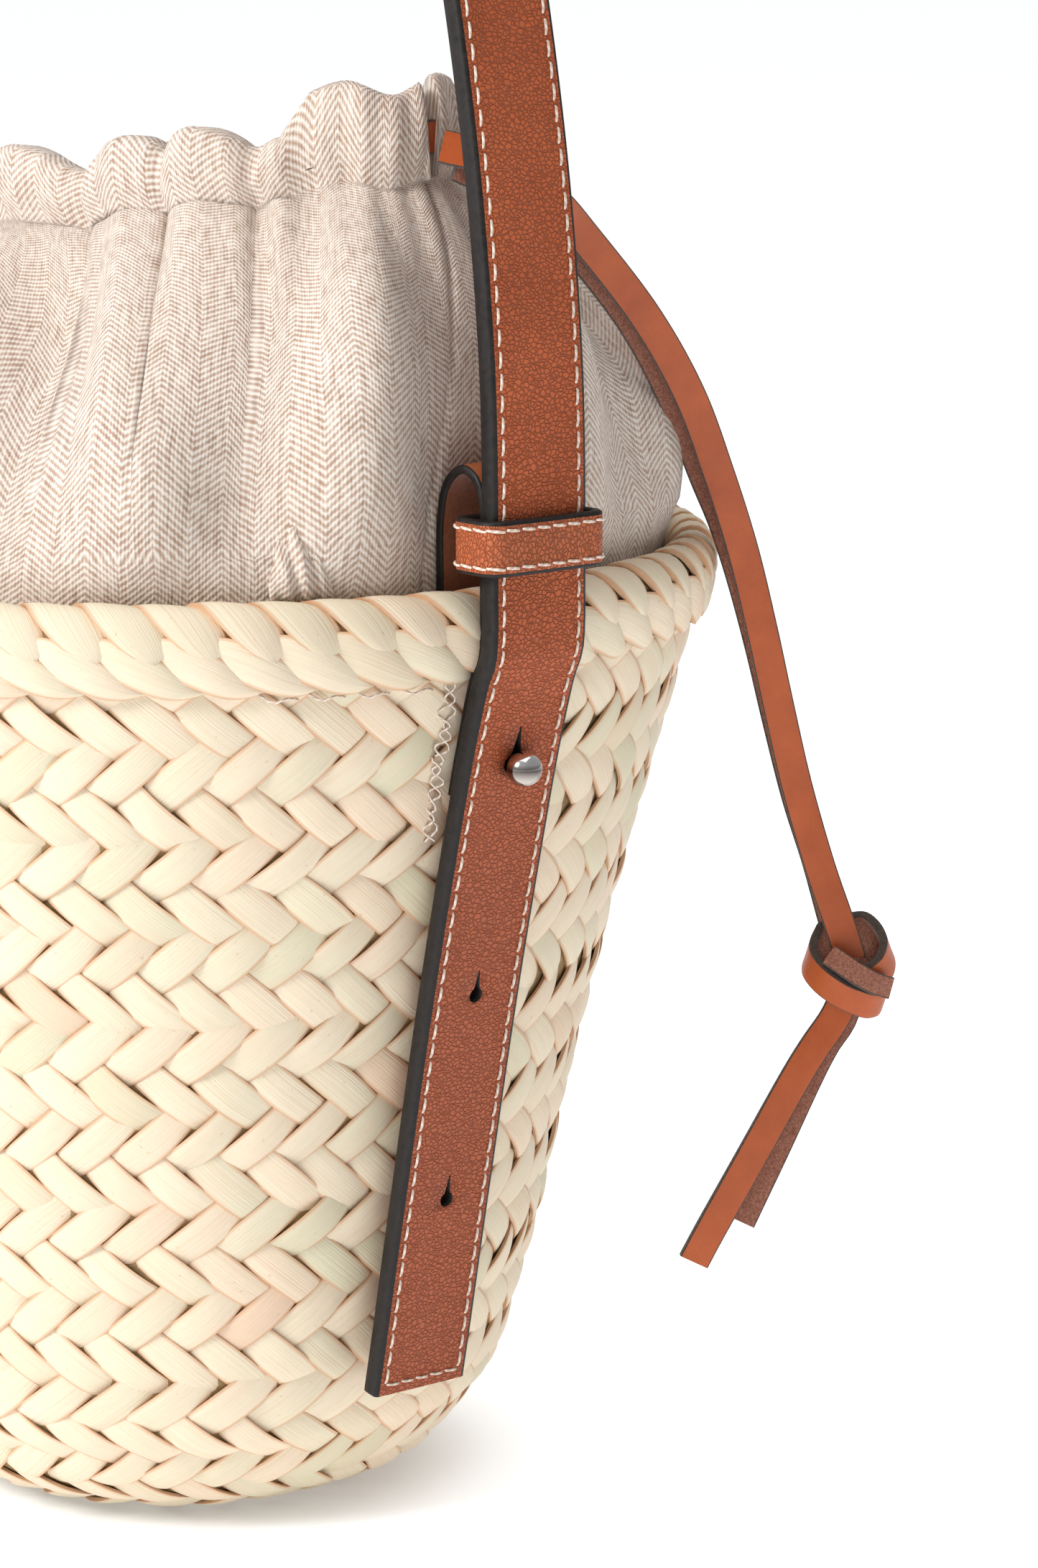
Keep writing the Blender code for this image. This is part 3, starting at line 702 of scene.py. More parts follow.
def make_leaves(surface):
    """Every leaf of the plaited wall and base, each woven under its neighbours at both ends."""
    turn, s, pitch, lean = (column[:, None, None] for column in plait_rows(surface).T)
    count = len(turn)
    section, on_top = leaf_section(0.92)
    a, b = np.linspace(-LEAF_REACH, LEAF_REACH, 13)[:, None], section[None, :]

    def vary(low, high):
        return rng.uniform(low, high, (count, 1, 1))

    wide = vary(0.97, 1.13) * (1 - 0.055 * a**2)[None]
    slide = vary(-0.09, 0.09)
    bow = vary(-0.09, 0.09)
    across = b[None] * wide + slide + bow * (1 - a**2)[None]
    along = a[None] * vary(0.97, 1.05)
    turns = turn + pitch / 2 * (along - across * 0.5) * lean
    ups = s + ROW_PITCH / 2 * (along + across * 0.5)
    weave = np.cos(np.clip(along, -2, 2) * math.pi / 2)
    weave = np.sign(weave) * np.abs(weave) ** 0.75
    crown = 0.50 * MM * (1 - np.abs(b) ** 3.4)[None]
    fold = vary(-0.42, 0.56) * MM * b[None]
    ripple = vary(-0.10, 0.10) * MM * np.sin(a * 3.0 + 1.0)[None]
    lift = vary(0.90, 1.40) * MM * weave + crown - 0.75 * MM + fold + ripple
    lift = np.where(on_top, lift, lift - 0.9 * MM)
    points = surface.point(turns, np.clip(ups, 1 * MM, surface.top), lift)
    points[..., 2] = np.maximum(points[..., 2], 0.3 * MM)
    leaf_u = along * 8 * MM + vary(0, 2) + 0 * across
    uvs = np.stack([leaf_u, b[None] + 0 * across], axis=-1)
    shell = Shell()
    tint = np.clip(rng.normal(0.46, 0.22, count), 0, 1)
    shell.grids(points, np.concatenate([uvs, uvs[:, :, :1]], axis=2), tints=tint, caps=0)
    return shell.finish("basket_plait", [palm], crease=60)


def make_backing(surface):
    """Palm darkened as painted shade, in layers behind the leaves."""
    outside, inside = np.linspace(0.5 * MM, surface.top, 70), np.linspace(surface.top, BASE_REACH, 50)
    ups = np.concatenate([outside, inside])
    lifts = np.where(np.arange(len(ups)) < len(outside), -0.9, -2.4) * MM
    turns, rows = np.meshgrid(full_turn(RING_STEPS), ups, indexing="ij")
    grid = surface.point(turns, rows, lifts)
    grid[..., 2] = np.maximum(grid[..., 2], 0.8 * MM)
    uvs = uv_grid(np.linspace(0, 0.6, RING_STEPS + 1), ups)
    return grid_piece("basket_backing", painted_shade_palm, grid, uvs, close_rows=True, close_columns=False)


def make_plait(surface):
    """The plaited wall and base."""
    plait = make_leaves(surface)
    for piece in (plait, make_backing(surface)):
        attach(piece, "basket")
    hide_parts("basket_wall", "basket_base")


RIM_COUNT = 62
RIM_PITCH = 2 * math.pi / RIM_COUNT
WRAP_RUN = (  # the way of a wrap over the basket's edge as (radius, height), from inside to outside
    (0.1098, 0.2035), (0.1100, 0.2080), (0.1112, 0.2122), (0.1140, 0.2143), (0.1172, 0.2138),
    (0.1194, 0.2108), (0.1201, 0.2070), (0.1199, 0.2034),
)
STRAND_LENGTH, STRAND_DROP = 24.5 * MM, 9.5 * MM
STRAND_ROUND = 0.118  # the radius that turns lengths along the rim into angles
CORE_RING = (  # the rim's filling as (radius, height), once round
    (0.1103, 0.1975), (0.1165, 0.1975), (0.1185, 0.2010), (0.1188, 0.2090),
    (0.1165, 0.2128), (0.1125, 0.2128), (0.1104, 0.2090),
)


def leaf_uv(along, across):
    """Texture coordinates of a leaf: metres along it and -1 to 1 across it, closed round."""
    return uv_grid(along + rng.uniform(0, 2), np.append(across, across[0]))


def add_wraps(shell):
    """Adds the rim's upper row of folded wraps."""
    t = np.linspace(0, 1, 17)
    b, on_top = leaf_section(0.9)
    over = smooth_line(WRAP_RUN, 1.0 * MM)
    path = read_at(t, lengths(over) / lengths(over)[-1], over)
    ahead = directions(path)
    out = np.stack([-ahead[:, 1], ahead[:, 0]], axis=1)
    narrowing = np.maximum(t - 0.56, 0) / 0.44
    width = np.sqrt(np.clip(1 - narrowing**2, 0.0025, 1))
    lean = np.interp(t, [0, 0.35, 1], [-0.95, -0.55, 0.45])
    apart = np.interp(t, [0, 0.35, 0.75, 1], [0.3, 0.35, 1.0, 1.0]) * np.minimum(1, width + 0.3)
    shape = 1.0 * MM * (1 - np.abs(b) ** 2.8) - 0.95 * MM * b
    grids, uvs = [], []
    for k in range(RIM_COUNT):
        centre = RIM_PITCH * (k + rng.uniform(-0.05, 0.05)) + RIM_PITCH * lean
        size = rng.uniform(0.55, 0.60)
        turns = centre[:, None] + RIM_PITCH * size * width[:, None] * b[None]
        lift = shape[None] * apart[:, None] + rng.uniform(-0.2, 0.2) * MM
        lift = np.where(on_top, lift, -0.6 * MM)
        grids.append(polar(path[:, :1] + out[:, :1] * lift, turns, path[:, 1:] + out[:, 1:] * lift))
        uvs.append(leaf_uv(t * 24 * MM, b))
    shell.grids(np.array(grids), np.array(uvs), tints=rng.uniform(0.2, 0.7, RIM_COUNT), caps=0)


def add_strands(shell):
    """Adds the rim's lower row of twisted strands."""
    a = np.linspace(-1, 1, 19)
    b, on_top = leaf_section(0.9)
    along = a * STRAND_LENGTH / 2
    middle = 0.2013 - STRAND_DROP / 2 * np.sin(a * 1.25)
    arch = 2.3 * MM * np.cos(a * math.pi / 2) ** 0.8 - 1.2 * MM * (a > 0) * a**2 - 0.5 * MM
    lift = arch[:, None] + 1.0 * MM * (1 - np.abs(b) ** 2.6)[None]
    lift = np.where(on_top, lift, lift - 1.2 * MM)
    grids, uvs = [], []
    for k in range(RIM_COUNT):
        size = rng.uniform(4.0, 4.6) * MM
        wide = size * np.clip(1 - np.abs(a + 0.22) ** 2.2 / 1.5, 0.06, 1)
        start = RIM_PITCH * (k + 0.30 + rng.uniform(-0.04, 0.04))
        turns = start + (along[:, None] + 0.10 * b[None] * wide[:, None]) / STRAND_ROUND
        heights = middle[:, None] + wide[:, None] * b[None]
        grids.append(polar(0.1178 + (heights - 0.2020) * 0.20 + lift, turns, heights))
        uvs.append(leaf_uv(along, b))
    shell.grids(np.array(grids), np.array(uvs), tints=rng.uniform(0.15, 0.8, RIM_COUNT), caps=0)


def make_rim():
    """The braided rim and what it is braided over."""
    shell = Shell()
    add_wraps(shell)
    add_strands(shell)
    rim = shell.finish("rim_braid", [palm], crease=60)
    # the rim's filling is dark palm, painted shade in the crevices between the wraps
    ring = np.array(CORE_RING)
    grid = polar(ring[:, 0], full_turn(RING_STEPS)[:, None], ring[:, 1])
    uvs = uv_grid(np.linspace(0, 0.7, RING_STEPS + 1), np.linspace(0, 0.05, len(ring) + 1))
    inner = grid_piece("rim_core", painted_shade_palm, grid, uvs, close_rows=True)
    for piece in (rim, inner):
        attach(piece, "basket")
    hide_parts("rim_braid_upper")
    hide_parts("rim_braid_lower")


def thread_along(shell, points, radius):
    """Adds a round thread through the given points."""
    line = smooth_line(points, 0.8 * MM)
    ahead = directions(line)
    side = unit(np.cross(ahead, np.array([0.31, 0.52, 0.79])))
    up = np.cross(ahead, side)
    turn = full_turn(6)
    ring = side[:, None] * np.cos(turn)[None, :, None] + up[:, None] * np.sin(turn)[None, :, None]
    grid = line[:, None] + ring * radius
    uvs = uv_grid(lengths(line), np.linspace(0, 6 * radius, 7))
    shell.grids(grid[None], uvs[None], tints=rng.random(1), caps=0)


SEAM_STEPS = 15
SEAM_PITCH = 2.7 * MM
SEAM_ROUND = 0.115  # the basket's radius at the seam


def make_seam_threads(surface):
    """The sewing thread that closes the plait beside each strap and holds the rim on."""
    shell = Shell()
    for middle in (math.radians(-7.2), math.radians(172.8)):
        for strand in range(2):
            steps = np.arange(SEAM_STEPS)
            swing = np.where((steps + strand) % 2 == 0, 1.0, -1.0) * rng.uniform(0.1, 1.0, SEAM_STEPS)
            turns = middle + (swing * 1.9 + (strand - 1) * 0.5) * MM / SEAM_ROUND
            uneven = rng.uniform(-0.6, 0.6, SEAM_STEPS) * MM
            ups = surface.top - 9 * MM - steps * SEAM_PITCH + uneven
            lifts = np.where(swing > 0, 2.0, 0.7) * MM
            thread_along(shell, surface.point(turns, ups, lifts), 0.26 * MM)
        for first in np.arange(-0.36, -0.02, 0.085):
            turns = middle + first + np.linspace(0, 1, 4) * 0.070
            ups = surface.top - 11.6 * MM + np.array([0.6, -0.4, 0.3, -0.8]) * MM
            lifts = np.array([0.4, 2.2, 2.2, 0.4]) * MM
            thread_along(shell, surface.point(turns, ups, lifts), 0.28 * MM)
    threads = shell.finish("plait_thread", [thread_wax])
    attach(threads, "basket")


# ---------------------------------------------------------------- linen pouch

MOUTH_X, MOUTH_HALF_LENGTH, MOUTH_HALF_DEPTH = 0.0085, 0.0820, 0.0330
MOUTH_HEIGHT, MOUTH_TILT, CHANNEL_HEIGHT = 0.2828, 0.0125, 0.0175
CROWN_FOOT, CROWN_RADIUS, CROWN_POWER = 0.2050, 0.1122, 4.0
LINEN_THICKNESS = 1.2 * MM
SLIT = math.radians(2.2)
GATHERS = 21
FLAT_PANEL = (0.62, 0.76)  # turns from the slit where the flat panel ends and the gathers begin
FOLDS = 13
FOLD_RIDGE = math.radians(14.5)
SIDE_SEAM = math.radians(-8.5)
CHANNEL_SECTION = (  # up the outside and down the inside: share of height, puff in mm, share of the swell
    (0.00, 0.1, 1.00), (0.06, 0.35, 0.95), (0.16, 0.9, 0.9), (0.30, 2.1, 0.9), (0.45, 2.7, 0.95),
    (0.60, 2.8, 1.0), (0.76, 2.3, 1.1), (0.90, 1.4, 1.2), (0.97, 0.5, 1.2), (1.0, -0.8, 1.1),
    (0.97, -2.0, 0.3), (0.88, -3.2, 0.0), (0.70, -4.0, -0.3), (0.50, -4.2, -0.4), (0.30, -4.2, -0.4),
    (0.12, -3.6, -0.2), (0.0, -2.8, 0.2),
)


def wave(turn, count, seed):
    """Irregular rounded waves round the pouch, between -1 and 1."""
    drift = 0.55 * np.sin(turn * 3 + seed) + 0.35 * np.sin(turn * 5 + 2.1 * seed)
    return np.sin(turn * count + drift * 2.2 + seed * 7)


def ease(value, low, high):
    """A smooth step from 0 to 1."""
    t = np.clip((value - low) / (high - low), 0, 1)
    return t * t * (3 - 2 * t)


def hump(value, width):
    """A smooth hump of height 1 where the value is 0."""
    return np.exp(-((value / width) ** 2))


def from_slit(turn):
    """The angle from the slit, between 0 and half a turn."""
    return np.abs((turn + math.pi) % (2 * math.pi) - math.pi)


def lumps(turn):
    """Gathers round the mouth, from 0 in a crease to 1 on a bulge, flat beside the slit."""
    calm = ease(from_slit(turn), *FLAT_PANEL)
    drift = 1.2 * np.sin(turn * 3 + 1.0) + 0.7 * np.sin(turn * 7 + 2.0)
    shape = np.abs(np.sin(turn * GATHERS / 2 + drift)) ** 0.6
    return calm * shape, calm


def notch(turn):
    """The deep fold at the end of the flat panel."""
    return hump(from_slit(turn) - FLAT_PANEL[1], 0.050)


def mouth_turn(turn):
    """Where the linen at a turn of the crown's foot meets the mouth: it is drawn towards the far end."""
    return turn + 0.66 * np.sin(turn)


def mouth_ring(turn, outward):
    """Points of the channel's oval as x, y and the height of its foot."""
    x = MOUTH_HALF_LENGTH * np.cos(turn)
    y = MOUTH_HALF_DEPTH * np.sin(turn)
    nx, ny = np.cos(turn) / MOUTH_HALF_LENGTH, np.sin(turn) / MOUTH_HALF_DEPTH
    size = np.hypot(nx, ny)
    gather, calm = lumps(turn)
    pucker = calm * (2.6 * gather - 1.3) + 1.2 * wave(turn, 6, 0.8)
    foot = MOUTH_HEIGHT + MOUTH_TILT * np.cos(turn) + pucker * MM
    return MOUTH_X + x + nx / size * outward, y + ny / size * outward, foot


def mouth_swell(turn):
    """How far the gathered channel stands out from its oval, the same at its foot as on the crown."""
    gather, calm = lumps(turn)
    swell = calm * (5.4 * gather - 1.0) - 1.4 * notch(turn)
    return (swell + 0.35 * wave(turn, 41, 3.3) + 0.9 * wave(turn, 5, 1.2)) * MM


def crown_base(turn, share):
    """The crown's smooth surface at a turn and a share of its height."""
    dent = 0.0070 * (hump(np.sin(turn / 2), 0.12) + hump(np.cos(turn / 2), 0.12))
    dent = dent * np.interp(share, [0, 0.30, 0.62, 1], [1, 1, 0.25, 0])
    draw = 0.0050 * (1 - np.minimum(1, share / 0.22))
    radius = CROWN_RADIUS - np.maximum(dent, draw)
    top_x, top_y, top_z = mouth_ring(mouth_turn(turn), 0.0)
    front = hump(from_slit(turn + math.radians(75)), 0.9)
    back = hump(from_slit(turn - math.radians(110)), 0.8)
    soft = np.maximum(front, back)
    drawn = (1 - soft) * share**CROWN_POWER + soft * share**3 * (4 - 3 * share)
    x = radius * np.cos(turn) * (1 - drawn) + top_x * drawn
    y = radius * np.sin(turn) * (1 - drawn) + top_y * drawn
    z = CROWN_FOOT + (top_z - CROWN_FOOT) * share
    return np.stack([x, y, z], axis=-1)


def crown_folds(turn, share):
    """How far the crown's folds stand off its smooth surface."""
    still = 1 - 0.8 * hump(np.sin(turn), 0.20)
    broad = (5.4 + 1.2 * wave(turn, 3, 0.4)) * np.cos(FOLDS * (turn + FOLD_RIDGE)) + 1.1 * wave(turn, 5, 2.9)
    reach = ease(share, 0.04, 0.40) * (1 - ease(share, 0.72, 1.0)) * still
    lift = broad * reach * MM + ease(share, 0.60, 1.0) ** 1.7 * mouth_swell(mouth_turn(turn))
    creases = 0.45 * wave(turn + 0.5 * share, 23, 4.4) + 0.5 * wave(turn - 0.3 * share, 15, 1.9)
    lift = lift + creases * MM * ease(share, 0.0, 0.3) * still
    seam = turn - SIDE_SEAM * (1 - share)
    return lift - 0.9 * MM * hump(seam, 0.009) * ease(share, 0.0, 0.1)


def crown_sides(turn):
    """The crown's outer side from its foot up, and its inner side from the top down."""
    share = np.concatenate([np.linspace(0, 0.6, 34), np.linspace(0.6, 1, 34)[1:]])
    turns, shares = np.meshgrid(turn, share, indexing="ij")
    base = crown_base(turns, shares)
    step = 1e-3
    side = crown_base(turns + step, shares) - crown_base(turns - step, shares)
    rise = crown_base(turns, np.minimum(shares + step, 1)) - crown_base(turns, np.maximum(shares - step, 0))
    normal = unit(np.cross(side, rise))
    lift = crown_folds(turns, shares)[..., None]
    return base + normal * lift, (base + normal * (lift - LINEN_THICKNESS))[:, ::-1]


def channel_sides(turn):
    """The ruffled channel, up its outer side and down its inner side, with the slit."""
    up, puff, swell = np.array(CHANNEL_SECTION).T
    turns, ups = np.meshgrid(mouth_turn(turn), up, indexing="ij")
    gather, calm = lumps(turns)
    crest = calm * (3.6 * gather - 4.6) + (1 - calm) * (3.4 + 0.8 * np.sin(turns * 9)) - 3.6 * notch(turns)
    crest = np.maximum(crest + 1.2 * wave(turns, 8, 4.1) * calm, -4.2)
    opening = ease(from_slit(turns), 0.75 * SLIT, 1.2 * SLIT) * 0.94 + 0.06
    x, y, foot = mouth_ring(turns, puff * MM + swell * mouth_swell(turns))
    height = (CHANNEL_HEIGHT * ups + crest * MM * ups**1.5) * opening
    return np.stack([x, y, foot + height], axis=-1)


def make_pouch():
    """The gathered crown and its ruffled drawstring channel, as one doubled sheet of linen."""
    fine = np.linspace(-1, 1, 41) * SLIT * 4
    rest = np.linspace(SLIT * 4, 2 * math.pi - SLIT * 4, 760)[1:-1]
    turn = np.concatenate([fine, rest])
    outer, inside = crown_sides(turn)
    grid = np.concatenate([outer, channel_sides(turn)[:, 1:], inside[:, 1:]], axis=1)
    along = lengths(grid[len(turn) // 6])
    around = np.append(turn, turn[0] + 2 * math.pi) * CROWN_RADIUS
    uvs = uv_grid(around, one_more(along))
    crown = grid_piece("pouch_crown_linen", linen, grid, uvs, close_rows=True)
    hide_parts("pouch_crown", "drawstring_channel")
    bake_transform(crown)


LINING_RUN = (  # the basket's inside as (height, radius)
    (0.0080, 0.0480), (0.0120, 0.0535), (0.0300, 0.0622), (0.0600, 0.0702), (0.0900, 0.0768),
    (0.1200, 0.0838), (0.1500, 0.0918), (0.1800, 0.0998), (0.2060, 0.1060),
)


def make_lining():
    """The linen lining inside the basket, slack and slightly creased, with its round bottom."""
    turns, rows = np.meshgrid(full_turn(240), np.linspace(0.0085, 0.206, 60), indexing="ij")
    creases = 0.9 * MM * wave(turns + rows * 14, 7, 2.2) + 0.5 * MM * wave(turns - rows * 30, 13, 1.1)
    radius = np.interp(rows, *np.array(LINING_RUN).T) + creases - LINEN_THICKNESS
    outer = polar(radius, turns, rows)
    inner = polar(radius - 1.0 * MM, turns, rows)
    inner[:, :1, 2] += 1.0 * MM
    shares = np.linspace(0.0, 1.0, 12)[1:-1]
    floor = [outer[:, :1] * np.array([k, k, 1]) for k in shares]
    inner_floor = [inner[:, :1] * np.array([k, k, 1]) for k in shares[::-1]]
    column = np.concatenate([*floor, outer, inner[:, ::-1], *inner_floor], axis=1)
    uvs = uv_grid(np.linspace(0, 0.68, 241), one_more(lengths(column[0])))
    lining = grid_piece("pouch_lining_linen", linen_plain, column, uvs, close_rows=True)
    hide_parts("pouch_lining", "pouch_bottom")
    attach(lining, "basket")


def make_tab():
    """The small gathered tab of linen at the rim's inside."""
    a = np.linspace(-1, 1, 31)
    across, up = np.meshgrid(a, np.linspace(0, 1, 13), indexing="ij")
    turn = math.radians(-22.6) + across * 0.062
    height = 0.2145 + up * 0.0150 * (1 - 0.45 * across**2)
    rounding = np.sin(np.clip(up * 1.15, 0, 1) * math.pi * 0.8) ** 0.8
    bulge = 3.4 * MM * np.sqrt(np.clip(1 - across**2, 0, 1)) * rounding
    creases = 0.8 * MM * np.sin(across * 11 + up * 4) * (1 - across**2)
    radius = 0.1108 + bulge + creases - 0.004 * up
    front, back = polar(radius, turn, height), polar(radius - 1.0 * MM, turn, height)
    grid = np.concatenate([front, back[:, ::-1]], axis=1)
    uvs = uv_grid(a * 7 * MM, np.linspace(0, 26 * MM, 27))
    tab = grid_piece("pouch_tab_linen", linen, grid, uvs, caps=0)
    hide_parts("pouch_loop")
    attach(tab, "basket")


# ---------------------------------------------------------------- strap

STRAP_WIDTH, STRAP_THICKNESS = 0.0250, 0.0046
STRAP_RUN = (  # the strap's outer face as (out from the middle, height), from its free end up to the keeper
    (0.0866, 0.0360), (0.0895, 0.0496), (0.0935, 0.0692), (0.0976, 0.0888), (0.1017, 0.1084),
    (0.1060, 0.1280), (0.1106, 0.1475), (0.1154, 0.1670), (0.1182, 0.1778), (0.1206, 0.1862),
    (0.1235, 0.1952), (0.1260, 0.2005), (0.1268, 0.2065), (0.1268, 0.2160), (0.1268, 0.2220),
)
ARCH_RUN = (  # and on from there to the top of the arch
    (0.1268, 0.2220), (0.1266, 0.2440), (0.1255, 0.2655), (0.1221, 0.2953), (0.1169, 0.3248),
    (0.1101, 0.3540), (0.1020, 0.3829), (0.0927, 0.4114), (0.0824, 0.4396), (0.0714, 0.4675),
    (0.0585, 0.4935), (0.0420, 0.5165), (0.0225, 0.5320), (0.0, 0.5370),
)
STRAP_SPLIT, SPLIT_X = 0.2250, 0.1268  # height and place out of the arch's foot, under the keeper
STUD_HEIGHT = 0.1778
HOLES = (  # distance below the stud, radius of the hole and top of its slit
    (0.0, 2.6 * MM, 8.4 * MM),
    (0.0530, 1.7 * MM, 5.6 * MM),
    (0.1005, 1.7 * MM, 5.6 * MM),
)
STITCH_INSET = 2.5 * MM
STITCH_ROW = STRAP_WIDTH / 2 - STITCH_INSET  # from the strap's middle to each row of stitches
ARCH_PITCH, END_PITCH, SHORT_PITCH = 4.4 * MM, 4.2 * MM, 4.0 * MM  # from stitch to stitch


def upright(points):
    """Points of (out, height) in the plane through the middle of the strap."""
    return [(x, 0.0, z) for x, z in points]


def strap_side(side):
    """The strap's outer face from its free end up to the split, on one side of the bag."""
    line = smooth_line(upright(STRAP_RUN + ARCH_RUN[1:2]), 3.0 * MM)
    line = line[line[:, 2] < STRAP_SPLIT - 0.4 * MM]
    end = np.array([[SPLIT_X, 0.0, STRAP_SPLIT - 0.1 * MM]])
    line = np.vstack([line[:1], line[:1] * 0.8 + line[1:2] * 0.2, line[1:], end])
    return line * np.array([side, 1, 1])


def strap_over():
    """The strap's outer face from split to split, over the top."""
    right = upright(ARCH_RUN)
    left = [(-x, y, z) for x, y, z in reversed(right[:-1])]
    line = smooth_line(right + left, 4.0 * MM)
    line = line[line[:, 2] > STRAP_SPLIT + 1.0 * MM]
    first = np.array([[SPLIT_X, 0.0, STRAP_SPLIT + 0.1 * MM]])
    return np.vstack([first, line, first * np.array([-1, 1, 1])])


def strap_facing(line, hand):
    """A strap's sideways directions and those out of its face, which is away from the bag."""
    side = np.tile(RIGHTWARD * hand, (len(line), 1))
    out = unit(np.cross(side, directions(line)))
    return (-side, -out) if out[0, 0] * hand < 0 else (side, out)


def key_cutter(place, up, out, radius, slit):
    """A hole with a tapered slit above it, to cut through the strap."""
    arc = np.linspace(2.05, 2 * math.pi + 1.09, 17)
    outline = [(radius * math.cos(a), radius * math.sin(a)) for a in arc]
    neck = 0.3 * radius
    outline += [(neck, 1.7 * radius), (0.15 * MM, slit), (-0.15 * MM, slit), (-neck, 1.7 * radius)]
    rings = []
    for depth in (-8 * MM, 4 * MM):
        rings.append([place + RIGHTWARD * x + up * y + out * depth for x, y in outline])
    return grid_piece("cutter", edge_paint, np.array(rings), np.zeros((2, len(outline) + 1, 2)), caps=0)


def cut_with(obj, cutter):
    """Cuts a piece with another and removes the cutter."""
    change = obj.modifiers.new("cut", "BOOLEAN")
    change.operation = "DIFFERENCE"
    change.solver = "EXACT"
    change.object = cutter
    bpy.context.view_layer.objects.active = obj
    bpy.ops.object.modifier_apply(modifier=change.name)
    bpy.data.objects.remove(cutter)


def cut_holes(end, line, out):
    """Cuts the buttonhole and the two spare holes into an end of the strap."""
    at = lengths(line)
    stud_at = np.interp(STUD_HEIGHT, line[:, 2], at)
    for step, radius, slit in HOLES:
        mark = stud_at - step
        up = unit(read_at(mark, at, directions(line)))
        cut_with(end, key_cutter(read_at(mark, at, line), up, unit(read_at(mark, at, out)), radius, slit))


def strap_strip(name, line, side, out):
    """A stretch of the strap, with a groove for its threads."""
    section = flat_section(STRAP_WIDTH, STRAP_THICKNESS, groove=STITCH_INSET)
    return strip_piece(name, [strap_leather, edge_paint, strap_suede], line, side, out, section)


def sew_edges(thread, line, side, out, pitch, first=0.0):
    """Adds rows of stitches along both edges of the strap, on its face and on its back."""
    below = STRAP_THICKNESS - 0.05 * MM
    for offset in (-STITCH_ROW, STITCH_ROW):
        add_stitches(thread, stitch_run(line, side, out, offset, pitch, -0.10 * MM, first))
        add_stitches(thread, stitch_run(line, -side, -out, offset, pitch, below, first))


def sew_end(thread, line, out):
    """Adds the row of stitches across the free end of the strap."""
    ahead = unit(line[1] - line[0])
    across = np.linspace(-STITCH_ROW, STITCH_ROW, 12)[:, None] * RIGHTWARD
    sideways, up = np.tile(ahead, (12, 1)), np.tile(out[0], (12, 1))
    row = line[0] + ahead * STITCH_INSET + across
    add_stitches(thread, stitch_run(row, sideways, up, 0.0, SHORT_PITCH, -0.05 * MM))


def make_strap():
    """The strap's arch and its two buttoned ends, with their threads."""
    line = strap_over()
    side, out = strap_facing(line, 1.0)
    arch = strap_strip("strap_arch", line, side, out)
    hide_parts("strap_face_arch", "strap_lining_arch")
    thread = Shell()
    sew_edges(thread, line, side, out, ARCH_PITCH)
    stitches = thread.finish("strap_arch_thread", [thread_wax])
    for piece in (arch, stitches):
        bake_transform(piece)

    for label, hand in SIDES:
        line = strap_side(hand)
        side, out = strap_facing(line, hand)
        end = strap_strip(f"strap_end_{label}", line, side, out)
        cut_holes(end, line, out)
        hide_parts(f"strap_face_run_{label}", f"strap_lining_run_{label}",
                    f"strap_face_flap_{label}", f"strap_lining_flap_{label}")
        thread = Shell()
        sew_edges(thread, line, side, out, END_PITCH, STITCH_INSET)
        sew_end(thread, line, out)
        stitches = thread.finish(f"strap_end_thread_{label}", [thread_wax])
        for piece in (end, stitches):
            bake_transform(piece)


# ---------------------------------------------------------------- keeper and hanger

KEEPER_FOOT, KEEPER_HEIGHT, KEEPER_THICKNESS = 0.2190, 0.0115, 0.0026
KEEPER_OUTER_X, KEEPER_HALF_Y = (0.1160, 0.1301), 0.0158
KEEPER_CORNER = 4.0 * MM
HANGER_RUN = (  # the middle of the hanger as (out, height), from its inner end over the rim to the stud
    (0.1035, 0.1800), (0.1066, 0.1960), (0.1070, 0.2140), (0.1070, 0.2270), (0.1088, 0.2352),
    (0.1137, 0.2394), (0.1188, 0.2375), (0.1209, 0.2310), (0.1209, 0.2200), (0.1209, 0.2068),
    (0.1200, 0.2012), (0.1171, 0.1950), (0.1142, 0.1850), (0.1122, 0.1778), (0.1105, 0.1712),
)
HANGER_WIDTH, HANGER_THICKNESS = 0.0220, 0.0020
STUD_BALL, STUD_CENTRE = 3.75 * MM, 3.3 * MM  # its radius and how far its middle stands off the strap


def keeper_loop(hand):
    """The outline of the keeper's outside, once round."""
    low, high = KEEPER_OUTER_X
    x_low, x_high, y_high = low + KEEPER_CORNER, high - KEEPER_CORNER, KEEPER_HALF_Y - KEEPER_CORNER
    corners = ((x_high, y_high, 0), (x_low, y_high, 90), (x_low, -y_high, 180), (x_high, -y_high, 270))
    loop = []
    for x, y, start in corners:
        for k in range(8):
            turn = math.radians(start + 90 * k / 7)
            loop.append((x + KEEPER_CORNER * math.cos(turn), y + KEEPER_CORNER * math.sin(turn)))
    loop = np.array(loop)
    dense = []
    for a, b in zip(loop, np.roll(loop, -1, axis=0)):
        parts = max(1, int(np.linalg.norm(b - a) / (2.5 * MM)))
        dense += [a + (b - a) * k / parts for k in range(parts)]
    x, y = np.array(dense).T
    bow = 0.35 * MM * (1 - (y / KEEPER_HALF_Y) ** 2) * (x > (low + high) / 2)
    return np.stack([(x + bow) * hand, y, np.full(len(x), KEEPER_FOOT + KEEPER_HEIGHT / 2)], axis=1)


